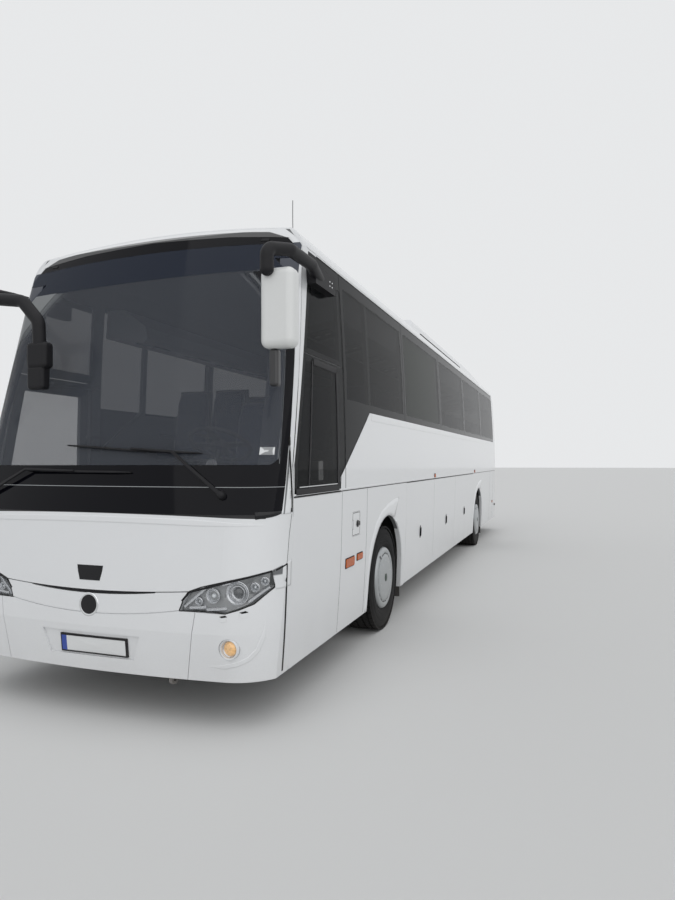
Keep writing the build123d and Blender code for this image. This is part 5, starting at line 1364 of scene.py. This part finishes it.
# %% Tyres
TREAD_RIBS = ((-122, 21, 46), (-66, 23, 52), (0, 30, 46), (66, 23, 52), (122, 21, 46))
TREAD_RADIUS, TREAD_MIDDLE = 500, 0.5005
HALF_TYRE = [(-101, 287), (-118, 292), (-133, 306), (-138, 322), (-146, 338), (-148.4, 352), (-148.4, 356),
             (-146.5, 359), (-148.6, 364), (-149, 384), (-149, 412), (-148.2, 420), (-146, 424), (-147, 430),
             (-144, 452), (-140, 470), (-133, 486), (-128, 492)]
TYRE_PROFILE = HALF_TYRE + [(-a, r) for a, r in reversed(HALF_TYRE)] + [(90, 302), (-90, 302)]


def spoke(angle, radius, aside=0.0):
    """A step in metres from a wheel's middle, turned back from the top by an angle."""
    return Vector((aside, -math.sin(angle) * radius, math.cos(angle) * radius))


def tyre(name, body, side, outer_x, station):
    """Carcass with sidewall rings, and tread blocks between its grooves."""
    middle = at(side * (outer_x - 149), station, HUB_HEIGHT)
    parts = [turned("carcass", TYRE_PROFILE, middle, (1, 0, 0), tyre_black, body, segments=72)]
    for index, (x, wide, count) in enumerate(TREAD_RIBS):
        angles = [CIRCLE * (k + 0.5 * (index % 2)) / count for k in range(count)]
        places = [(middle + spoke(angle, TREAD_MIDDLE, x / 1000), (angle, 0, 0)) for angle in angles]
        unit = block_unit(wide, math.pi * TREAD_RADIUS / count - 2.2, 9, 1.6)
        parts.append(repeat("tread", unit, places, tyre_black, body))
    whole = merge(name, parts)
    whole.data.set_sharp_from_angle(angle=math.radians(38))
    return whole


tyre_parts = []
for side, word in HANDS:
    tyre_parts += [
        (tyre("tyre_front_" + word, "front_wheel_" + word, side, 1230, 0), "front_tyre_" + word),
        (tyre("tyre_rear_outer_" + word, "rear_wheels_" + word, side, 1230, REAR_AXLE), "rear_tyres_" + word),
        (tyre("tyre_rear_inner_" + word, "rear_wheels_" + word, side, 900, REAR_AXLE), "rear_tyres_" + word)]
for thing, node in tyre_parts:
    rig.replaces(thing, node)
print("tyres", len(tyre_parts))

# %% [markdown]
# ### Covers
# Flat stainless covers hide the wheel nuts. A deep groove runs inside the rim band, and short bridges
# across it leave dark slots. The middle is a shallow dome with a small dark cap, and a slit in the band
# leaves room for the valve. A painted ring would look right only from one side, so groove, dome and bridges
# have their own depth on the plain cover of the CAD.

# %% Wheel covers
BAND_RING = [(-8, 303), (-2, 304), (10, 301), (22, 294), (30, 284), (33, 262), (31, 250), (26, 244),
             (-6, 244)]
DOME = [(-6, 0.5), (-6, 231), (28, 231), (33, 226), (36, 200), (38, 140), (39, 60), (39, 0.5)]
GROOVE = [(-3, 230), (26.5, 230.5), (26.5, 244.5), (-3, 245)]
CAP = [(34, 0.5), (34, 40), (41, 39), (44, 33), (45.5, 15), (46, 0.5)]
BRIDGES, RIVETS = 20, 10
# Near-black for the cover grooves, the valve slits, the lid openings and the fan wells: painted shade in openings
slot_black = Finish("slot_black", (0.008, 0.008, 0.009), rough=0.6, bump=0.1)
cap_green = Finish("cap_green", (0.012, 0.035, 0.022), rough=0.35, dust=0.2)
for side, word in HANDS:
    for place, station, wheel in (("front_", 0, "front_wheel_"), ("rear_", REAR_AXLE, "rear_wheels_")):
        body, end = wheel + word, place + word
        centre, out = at(side * 1208, station, HUB_HEIGHT), (side, 0, 0)
        merge("cover_" + end, lathe(centre, out, "", body, ("band", silver, 72, BAND_RING),
                                    ("dome", silver, 72, DOME)))
        # The groove's floor between the bridges is near-black: painted shade
        lathe(centre, out, end, body, ("cover_groove_", slot_black, 72, GROOVE),
              ("cover_cap_", cap_green, 32, CAP))
        angles = [CIRCLE * (k + 0.5) / BRIDGES for k in range(BRIDGES)]
        slots = [(centre + spoke(angle, 0.2385, side * 0.0265), (angle, 0, 0)) for angle in angles]
        repeat("cover_bridges_" + end, block_unit(5.5, 9, 8, 1), slots, silver, body)
        angle = math.radians(38)
        slit = centre + spoke(angle, 0.276, side * 0.0315)
        repeat("cover_slit_" + end, block_unit(2.6, 6, 21), [(slit, (angle, 0, 0))], slot_black, body)
        rivets = [(centre + spoke(-CIRCLE * k / RIVETS, 0.17, side * 0.038), (0, side * math.pi / 2, 0))
                  for k in range(RIVETS)]
        repeat("cover_rivets_" + end, ring_unit([(-3, 5), (0, 5), (1.6, 4), (2.4, 1.5)], 10), rivets,
               chrome, body)
print("wheel covers are on")

# %% [markdown]
# ## Seats
# Touring coach seats are pairs of moulded backs and cushions in a dark patterned plush, with headrest
# wings. Each pad could be a rounded block, but foam under a tight cover bulges between its seams and pulls
# in at corners. So one cushion and one back are inflated as cloth, then set by Geometry Nodes at every
# place in the coach.

# %% Plush, seams and shells
plush = Finish("seat_plush", (0.030, 0.040, 0.085), rough=0.9, dust=0.0, grain_size=900, bump=0.5, tone=0.45)
plush.set("Sheen Weight", 0.35)
thread = noise(plush.tree, plush.where, 55, 4, 0.7)
plush.paint(thread.over(0.56, 0.03), (0.055, 0.075, 0.15)).paint(thread.over(0.64, 0.02), (0.16, 0.13, 0.05))
welt_leather = Finish("seat_welt", (0.018, 0.018, 0.022), rough=0.55, dust=0.0, grain_size=700, bump=0.3)
seat_shell = Finish("seat_shell", (0.09, 0.092, 0.098), dust=0.0, grain_size=900, bump=0.2)
curtain_cloth = Finish("curtain_cloth", (0.55, 0.70, 0.52), rough=0.9, dust=0.0, grain_size=1200, bump=0.4,
                       tone=0.12)
curtain_cloth.set("Sheen Weight", 0.3)
blind_cloth = Finish("blind_cloth", (0.018, 0.035, 0.085), rough=0.85, dust=0.0, grain_size=1100, bump=0.3,
                     tone=0.15)

# %% One cushion and one back, inflated
CORNERS, SQUARENESS, CLOTH_FRAMES = 16, 0.32, 20


def inflated(name, mesh, swell):
    """The mesh blown up as cloth by at most the swell in millimetres."""
    rest = [vertex.co.copy() for vertex in mesh.vertices]
    swollen = show(name, mesh)
    cloth = swollen.modifiers.new("cloth", "CLOTH")
    cloth.settings.use_pressure = True
    cloth.settings.uniform_pressure_force = 4
    cloth.settings.effector_weights.gravity = 0
    cloth.point_cache.frame_end = CLOTH_FRAMES
    for frame_number in range(1, CLOTH_FRAMES + 1):
        bpy.context.scene.frame_set(frame_number)
    blown = baked(swollen)
    bpy.context.scene.frame_set(1)
    for vertex, start in zip(blown.vertices, rest):
        move = vertex.co - start
        if move.length > swell / 1000:
            vertex.co = start + move.normalized() * (swell / 1000)
    return blown


def pad_mesh(name, rows, voxel, swell):
    """A closed form from rows of (half across, along, low, high), remeshed, then inflated as cloth."""
    points = []
    for half, line, low, high in rows:
        for k in range(CORNERS):
            c, s = math.cos(CIRCLE * k / CORNERS), math.sin(CIRCLE * k / CORNERS)
            u, v = (math.copysign(abs(value) ** SQUARENESS, value) for value in (c, s))
            points.append((u * half, line, (low + high) / 2 + v * (high - low) / 2))
    form = unit_mesh(name, points, ring_faces(CORNERS, len(rows)))
    voxels = form.modifiers.new("voxels", "REMESH")
    voxels.mode = "VOXEL"
    voxels.voxel_size = voxel / 1000
    mesh = baked(form)
    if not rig.quick():
        mesh = inflated(name, mesh, swell)
    mesh.shade_smooth()
    print(name, len(mesh.polygons), "faces")
    return show(name, mesh)


def ramp(x, start, width):
    """0 up to a distance from the middle and 1 past a width beyond it."""
    return min(1.0, max(0.0, (abs(x) - start) / width))


def groove(value, width, *lines):
    """How deep a value lies in soft grooves along some lines."""
    return sum(math.exp(-((value - line) / width) ** 2) for line in lines)


# Rows of the cushion: half width, ahead of the seat's own station, and over the floor, in millimetres
cushion = pad_mesh("seat_cushion", [(190, -62, 352, 410), (204, -20, 350, 426), (208, 120, 352, 436),
                                    (206, 205, 352, 444), (196, 232, 360, 440)], 18, 13)
for vertex in cushion.data.vertices:
    x, y, z = vertex.co * 1000
    if z > 400:
        bolster = ramp(x, 130, 50)
        seam = groove(abs(x), 6, 128)
        vertex.co.z += (bolster * 8 - groove(y, 6, 20, 110) * 5 * (1 - bolster) - seam * 6) / 1000

# Rows of the back: half width, height, rear and front. It is turned upright after inflating
back_pad = pad_mesh("seat_back", [(196, 345, -132, -100), (204, 428, -162, -86), (208, 640, -197, -114),
                                  (206, 800, -228, -136), (196, 960, -254, -158), (168, 1090, -266, -182),
                                  (150, 1118, -254, -204)], 25, 15)
for vertex in back_pad.data.vertices:
    x, y, z = vertex.co * 1000
    wings = ramp(x, 125, 45)
    seam = groove(abs(x), 9, 122)
    if z > -150 - (y - 640) * 0.12:
        z += wings * 7 - (groove(y, 9, 560, 700, 860) * (1 - wings) + seam) * 6
    vertex.co = Vector((x, z, y)) / 1000
back_pad.data.flip_normals()

# %% Seats at their places
SEAT_ROWS, SEAT_FIRST, SEAT_PITCH, DECK = 12, -250, 780, 1340
DRIVER_SEAT = (560, -1640, 1060)
MID_DOOR = (4420, 5290)
SEAT_MIDDLE, SEAT_SHIFT = 720, 224


def facing(spots):
    """Places for units that face the front, from places in millimetres."""
    return [(at(*place), (0, 0, math.pi)) for place in spots]


stations = [SEAT_FIRST + row * SEAT_PITCH for row in range(SEAT_ROWS)]
pair_spots = [(sign * SEAT_MIDDLE, s, DECK) for s in stations for sign in (1, -1)
              if sign > 0 or not MID_DOOR[0] - 500 < s < MID_DOOR[1] + 500]
shifts = (-SEAT_SHIFT, SEAT_SHIFT)
seat_spots = [DRIVER_SEAT] + [(x + shift, s, z) for x, s, z in pair_spots for shift in shifts]
pair_spots = [DRIVER_SEAT] + pair_spots
cushions = repeat("seat_cushions", cushion, facing(seat_spots), plush, smooth=True)
backs = repeat("seat_backs", back_pad, facing(seat_spots), plush, smooth=True)
for pads, fill in ((cushions, 0.85), (backs, 0.8)):
    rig.padded(pads, fill=fill)
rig.replaces(cushions, "seats")
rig.replaces(backs, "seats")
print("seats", len(seat_spots))

# %% [markdown]
# ### Seat frames
# Under the pads are a pan, a hard shell behind each back, plates at the sides, an armrest and a shared
# foot. They could be left out behind dark glass, but the shells and feet show through the doors. They are
# plain bent sheets, so each is an outline pulled sideways, and all of one seat's parts make one unit that
# is repeated.

# %% Frames


def pulled(name, *outlines):
    """A unit of several outlines of (ahead, up) places, each pulled across between two limits."""
    points, faces = [], []
    for outline, low, high in outlines:
        start = len(points)
        points += [(x, a, b) for x in (low, high) for a, b in outline]
        faces += [tuple(start + i for i in face) for face in ring_faces(len(outline), 2)]
    return unit_mesh(name, points, faces)


SHELL = [(-148, 337), (-204, 590), (-248, 800), (-282, 1083), (-267, 1122), (-256, 1112), (-266, 1078),
         (-234, 800), (-190, 590), (-134, 342)]
PAN = [(-84, 340), (236, 350), (236, 358), (-84, 350)]
PLATE = [(-120, 340), (70, 346), (30, 404), (-70, 424), (-110, 560), (-176, 540), (-150, 400)]
ARMREST = [(-150, 590), (-120, 584), (118, 600), (140, 614), (140, 628), (118, 636), (-140, 622)]
FOOT = [(-104, 0), (134, 0), (134, 12), (48, 40), (58, 338), (-44, 338), (-30, 40), (-104, 12)]
frame_unit = pulled("seat_frame", (SHELL, -204, 204), (PAN, -196, 196), (PLATE, 207, 215),
                    (PLATE, -215, -207))
frames = repeat("seat_frames", frame_unit, facing(seat_spots), seat_shell)
arms = repeat("seat_armrests", pulled("seat_arm", (ARMREST, 200, 221)), facing(seat_spots), welt_leather)
feet = repeat("seat_feet", pulled("seat_foot", (FOOT, -26, 26)), facing(pair_spots), seat_shell)
soften(frames, 3, 1)
soften(arms, 5, 2)
for thing in (frames, arms, feet):
    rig.replaces(thing, "seats")
print("feet", len(pair_spots))

# %% [markdown]
# ## Curtains
# Behind the third pane hangs a pale green pleated curtain, and a dark blue one is gathered at the driver's
# pillar. A curtain could be a flat sheet with a striped paint, but pleats bend light. The cloth follows a
# wave that grows a little irregular downwards, and the wave's own length gives the width that the cloth was
# cut to.

# %% Curtains
CURTAIN_ROWS, STEPS_PER_PLEAT = 16, 8


def wall_x(z):
    """Half width of the body at a height above the belt, in millimetres."""
    t = z / 1000 - BELT
    return 1275 + 5.1 * t - 22.8 * t * t


def curtain(name, ends, z0, z1, inset, wave, pleats, finish, lean=0.0):
    """A gathered cloth in the left wall's window between two stations, with its cut size declared."""
    columns = pleats * STEPS_PER_PLEAT
    lines = []
    for row in range(CURTAIN_ROWS + 1):
        share = row / CURTAIN_ROWS
        z = z0 + (z1 - z0) * share
        line = []
        for k in range(columns + 1):
            t = k / columns
            wander = 0.5 * math.sin(9 * t + 3 * share)
            swing = wave * (1 - 0.25 * share) * math.sin(CIRCLE * pleats * t + wander)
            station = ends[0] + (ends[1] - ends[0]) * t + lean * (z - z0)
            line.append(at(wall_x(z) - inset + swing, station, z))
        lines.append(line)
    lengths = [sum((b - a).length for a, b in zip(line, line[1:])) for line in lines]
    wide = columns + 1
    faces = [(row * wide + k, row * wide + k + 1, (row + 1) * wide + k + 1, (row + 1) * wide + k)
             for row in range(CURTAIN_ROWS) for k in range(columns)]
    points = [point for line in lines for point in line]
    cloth = solid(name, points, faces, finish, smooth=True, closed=False)
    drop = math.dist(lines[0][0], lines[-1][0])
    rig.sheet(cloth, flat=(sum(lengths) / len(lengths), drop), held="gathered", rests_on=["left_wall"])
    print(name, "was cut", round(max(lengths), 2), "m wide")


curtain("curtain_pane", (812, 2838), 2170, 3138, 29, 7, 34, curtain_cloth)
curtain("curtain_pillar", (-2262, -2150), 1700, 2700, 60, 6, 4, blind_cloth, lean=0.2)

# %% [markdown]
# ## Driver's place and racks
# The dashboard carries round gauges, a row of switches and a vent, and the parcel racks carry two lights
# and a service panel over every seat row. These could be painted on, but a ring, a rocker and a slot each
# need an edge. They are small units that Geometry Nodes set in rows on the CAD's plain desk and racks.

# %% Dashboard and racks
gauge_white = Finish("gauge_white", (0.55, 0.56, 0.57), rough=0.4, dust=0.0)
rack_light = Finish("rack_light", (0.62, 0.62, 0.58), rough=0.4, dust=0.0)
desk = plan(skin("dashboard"), 2100)
gauges = [laid(*desk(x, -2215)) for x in (440, 560, 680)]
switches = [laid(*desk(x, -2400), 0.002) for x in range(-300, 180, 44)]
vents = [laid(*desk(x, -2600), 0.001) for x in range(-330, 1100, 26)]
repeat("gauge_rings", ring_unit([(-3, 46), (3, 46), (5, 43), (3, 40), (0.5, 39)], 28), gauges, chrome)
repeat("gauge_dials", ring_unit([(-3, 38.5), (1, 38.5), (1.2, 30)], 28), gauges, gauge_white)
repeat("switches", block_unit(15, 10, 6, 2), switches, moulded_black)
repeat("vent_slats", block_unit(4, 46, 5, 1), vents, moulded_black)
rack = view(skin("parcel_racks"), lambda x, s: (x, s, 2522), (0, 0, 1))
RACK_FIRST, RACK_ROWS = SEAT_FIRST + 180 - SEAT_PITCH, 13
rack_rows = [(sign * 900, RACK_FIRST + row * SEAT_PITCH) for row in range(RACK_ROWS) for sign in (1, -1)]
panels = [laid(*rack(x, s)) for x, s in rack_rows]
lights = [laid(*rack(x + shift, s), 0.008) for x, s in rack_rows for shift in (-50, 50)]
repeat("service_panels", block_unit(110, 150, 8, 5), panels, seat_shell)
repeat("reading_lamps", ring_unit([(-3, 24), (3, 24), (5, 20), (2, 16), (3, 8)], 16), lights, rack_light)
print("racks have", len(panels), "service panels")

# %% [markdown]
# ## Mirror faces
# The white housings hold a large flat glass above and a curved one below, both facing back along the coach.
# A bright patch of paint would pass from afar, but a driver's eye looks for the dark frame round the glass.
# So each face is a thin glass pad with a rubber rim, laid on the rear of the housing by rays.

# %% Mirror glasses
GLASSES = ((1241, 1411, 2420, 2804), (1264, 1312, 2172, 2330))
SCREW_PLACES = [(s, z) for z in (2992, 3024) for s in (-1700, -1750)]
mirror_back = view(skin("mirror_heads", "mirror_arms"), lambda x, z: (x, -2500, z), (0, -1, 0))
arm_skin = skin("mirror_arms")
screws = []
for side, word in HANDS:
    shapes = [on_side(side, rounded(*limits, 14)) for limits in GLASSES]
    merge("mirror_panes_" + word, [
        pad("mirror_pane", mirror_back, shape, -1.5, mirror_glass) for shape in shapes])
    merge("mirror_rims_" + word, [
        ribbon("rim", [mirror_back(*place) for place in shape], 9, 1.2, rubber, loop=True, sink=4)
        for shape in shapes])
    arm = flank(arm_skin, side)
    for place in SCREW_PLACES:
        try:
            screws.append(laid(*arm(*place)))
        except ValueError:
            continue
pad("front_mirror_pane", mirror_back, rounded(-662, -530, 2366, 2514, 20), -1.5, mirror_glass)
repeat("mirror_screws", ring_unit([(-2, 7), (2.5, 7), (4, 5.5), (4, 3), (2.4, 3)], 6), screws, chrome)
print("mirror screws", len(screws))

# %% [markdown]
# ## The right side
# The photograph hides this side, so it follows the left one and the usual coach: two doors, two flaps, the
# same strips. The strips could be copied across the middle, but the doors cut through them, so they are
# laid in runs that stop at each door, and the doors carry their own rubber edges and handles, which move
# with the leaf.

# %% Strips and doors of the right side
DOORS = (("front_door", -2376, -1405), ("mid_door", *MID_DOOR))
PANE_RUNS = ((-560, 4378, [(-1352, 1612), (-612, 2116)]), (5332, 9540, [(5332, 2116)]))
for number, (first, last, start) in enumerate(PANE_RUNS):
    strip(f"rain_strip_right_{number}", right_side, [(first, 2076), (last, 2076)], 40, 66, 3.2, lacquer)
    strip(f"slope_seal_right_{number}", right_side, start + [(last, 2116)], 60, 7, 1.6, rubber)
for number, (first, last) in enumerate(((-1352, 4378), (5332, 9800))):
    strip(f"belt_line_right_{number}", right_side, [(first, 1436), (last, 1440)], 60, 7, 1.8, rubber)
    strip(f"belt_rib_right_{number}", right_side, [(first, 1450), (last, 1454)], 60, 13, 3.4, lacquer)
strips("panel_joints_right", right_side, PANEL_JOINTS, 16, 3.2, 0.7, rubber)
for name, first, last in DOORS:
    body = name + "_leaf"
    frame_strip(name + "_seal", right_side, rounded(first + 24, last - 24, 350, 2372, 12), 120, 12, 1.6,
                rubber, body)
    frame_strip(name + "_glass_seal", right_side, rounded(first + 52, last - 52, 1082, 2313, 30), 90, 14,
                2.0, rubber, body)
    handle(name + "_handle_{}", right_side, body, (first + 120, first + 330, 905, 1005, 26), 2,
           (first + 138, first + 312, 940, 972, 10), 16)
    lathe(*right_side(first + 225, 860), "", body,
          (name + "_lock", chrome, 24, [(-3, 0.5), (-3, 15), (3, 15), (5, 12), (5, 5), (3, 3.5), (3, 0.5)]))
print("right side has", len(DOORS), "doors")

# %% [markdown]
# ## The back
# The back has tall red lamps with amber and clear parts, a louvred engine lid, a blank plate and low
# reflectors. The louvres could be stripes of paint. Real slats with gaps between throw the row of shadows
# that says "engine", so Geometry Nodes set one tilted slat again and again over a dark opening.

# %% Lamps, louvres and plate
clear_lens = Finish("clear_lens", (0.62, 0.64, 0.65), rough=0.12, dust=0.1, bump=0.1, coat=0.6)
LID = "engine_lid"
SLAT_MIDDLES = (-653, -467, -280, -93, 93, 280, 467, 653)
SLAT_PITCH, SLAT_TILT = 30, 0.55
BACK_SCREWS = [(x, z) for x in (-1180, -800, -400, 0, 400, 800, 1180) for z in (340, 560)]


def back_patch(name, side, x0, x1, z0, z1, rise):
    """A red pad with cut corners at one side of the back."""
    low, high = sorted((side * x0, side * x1))
    pad(name, back, rounded(low, high, z0, z1, 8), rise, red, edge=2)


for side, word in HANDS:
    for use, z0, z1, finish in (("turn", 1372, 1482, amber), ("reverse", 1010, 1090, clear_lens)):
        low, high = sorted((side * 1040, side * 1140))
        plate(f"rear_lamp_{use}_{word}", back, (low, z0), (high, z1), 4, finish, columns=6)
    ribs = [on_side(side, [(1036, z), (1144, z)]) for z in (1364, 1098, 1002)]
    strips("rear_lamp_ribs_" + word, back, ribs, 4, 7, 3, moulded_black)
    lamp_ring = on_side(side, rounded(1030, 1150, 760, 1500, 10))
    frame_strip("rear_lamp_seal_" + word, back, lamp_ring, 70, 8, 2, rubber)
    back_patch("rear_reflector_" + word, side, 860, 1010, 440, 480, 4)
    back_patch("rear_marker_" + word, side, 1000, 1080, 3052, 3090, 6)
for number, (z0, z1) in enumerate(((1180, 1480), (760, 940))):
    # Each opening is a near-black sheet behind the slats: painted shade
    plate(f"lid_opening_{number}", back, (-760, z0), (760, z1), 1.5, slot_black, LID, columns=20)
    slats = []
    for z in range(z0 + 22, z1 - 17, SLAT_PITCH):
        for x in SLAT_MIDDLES:
            point, normal = back(x, z)
            slats.append((point - normal * 0.0055, (SLAT_TILT, 0, math.atan2(-normal.x, normal.y))))
    repeat(f"lid_louvres_{number}", block_unit(88, 4, 11, 1.5), slats, lacquer, LID)
    frame_strip(f"lid_frame_{number}", back, rounded(-766, 766, z0 - 6, z1 + 6, 6), 80, 12, 3, lacquer, LID)
number_plate("rear_", back, LID, 8, (-268, 268, 1000, 1124), (-258, 258, 1009, 1115),
             (-256, -215, 1011, 1113))
handle("lid_handle_{}", back, LID, (-70, 70, 1134, 1172, 10), 3, (-52, 52, 1144, 1162, 6), 12, edge=3)
frame_strip("rear_window_seal", back, rounded(-976, 976, 2154, 2946, 24), 110, 16, 3, rubber)
back_patch("brake_lamp_high", 1, -210, 210, 2975, 3012, 8)
rear_screws = [laid(*back(x, z)) for x, z in BACK_SCREWS]
repeat("rear_screws", ring_unit([(-2, 7), (1.6, 7), (2.6, 5.5), (2.6, 2.5), (1.2, 2.5)], 12), rear_screws,
       steel)
print("rear louvres and lamps are on")

# %% [markdown]
# ## The roof
# On the roof sit a long cooling hood with round fans, a whip aerial, and sealed seams that run lengthways.
# From the ground only the hood's edge shows. The fans could be discs of paint, but the library part is also
# seen from above, so each fan has a ring, a dark well, a hub and a set of thin guard bars.

# %% Fans, louvres, seams and aerial
GUARD_BARS = 20
# The fan wells are near-black discs: painted shade inside the fans
FAN_PARTS = (
    ("fan_rings", moulded_black, 48, [(-6, 262), (7, 262), (12, 254), (12, 244), (4, 238), (-6, 238)]),
    ("fan_wells", slot_black, 32, [(-4, 0.5), (-4, 240), (1.5, 240), (1.5, 0.5)]),
    ("fan_hubs", moulded_black, 24, [(0, 0.5), (0, 60), (9, 58), (12, 50), (12, 0.5)]))
FAN_GUARDS = [("guard", chrome, 40, [(6, r - 2.2), (6, r + 2.2), (10, r + 2.2), (10, r - 2.2)])
              for r in (110, 160, 210)]
fan_places = [top(x, s) for s in (7350, 8150, 8950) for x in (-380, 380)]
for part in FAN_PARTS:
    merge(part[0], [lathe(*place, "", BODY, part)[0] for place in fan_places])
merge("fan_guards", [guard for place in fan_places for guard in lathe(*place, "", BODY, *FAN_GUARDS)])
bars = []
for point, normal in fan_places:
    tilt = Vector((0, 0, 1)).rotation_difference(normal).to_matrix()
    for k in range(GUARD_BARS):
        way = tilt @ Matrix.Rotation(CIRCLE * k / GUARD_BARS, 3, "Z")
        bars.append((point + way @ Vector((0.148, 0, 0.008)), tuple(way.to_euler())))
repeat("fan_bars", block_unit(92, 2.2, 2.2, 0.5), bars, chrome)
hood_sides = [flank(top_skin, side, 1400) for side in (1, -1)]
hood_spots = [surface(s, 3470) for s in range(2900, 6500, 60) for surface in hood_sides]
hood_slats = [(point + normal * 0.001, (0, 0, 0)) for point, normal in hood_spots if abs(point.x) < 1.0]
repeat("hood_louvres", block_unit(5, 17, 38, 1.5), hood_slats, moulded_black)
strips("roof_seams", top, [[(x, -1950), (x, 2150)] for x in (-350, 350)], 40, 26, 2.4, lacquer)
GUTTER = [(-1980, 3229), (9780, 3229)]
merge("gutters", [strip("gutter", surface, GUTTER, 110, 10, 3.4, lacquer) for surface in (left, right_side)])
point, normal = top(1040, -1850)
lathe(point, normal, "", BODY, (
    "aerial_foot", moulded_black, 24, [(-4, 0.5), (-4, 24), (4, 23), (14, 14), (30, 8), (34, 4), (34, 0.5)]))
AERIAL_TOP = 3.634
tip = Vector((point.x + 0.008, point.y - 0.012, AERIAL_TOP))
whip = [point + normal * 0.03, (point + tip) / 2 + Vector((0, 0, 0.005)), tip]
tube("aerial_whip", whip, 2.6, moulded_black)
print("fans", len(fan_places), "hood slats", len(hood_slats))

# %% [markdown]
# ## Under the floor
# Low down hang mud flaps behind the wheels and the exhaust's end. They hardly show, but without them the
# arches look hollow. Each is a plain solid with rounded edges where the real one hangs.

# %% Mud flaps and exhaust
for side, word in HANDS:
    slab("mud_flap_front_" + word, (side * 940, side * 1216), (655, 667), (190, 470), rubber, 4)
    slab("mud_flap_rear_" + word, (side * 640, side * 1216), (7525, 7537), (170, 470), rubber, 4)
turned("exhaust_end", [(0, 38), (0, 44), (520, 44), (520, 38)], at(-520, 9560, 252), (0, 1, 0), steel,
       segments=32)
print("underside pieces are on")

# %% [markdown]
# ## Finish
# The coach's box before and after dressing is written down.

# %% Write the sizes and finish
dressed_box = [list(corner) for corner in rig.bounds()]
with open("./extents.json", "w") as size_file:
    json.dump({"cad": cad_box, "dressed": dressed_box}, size_file)
print("dressed box", dressed_box)
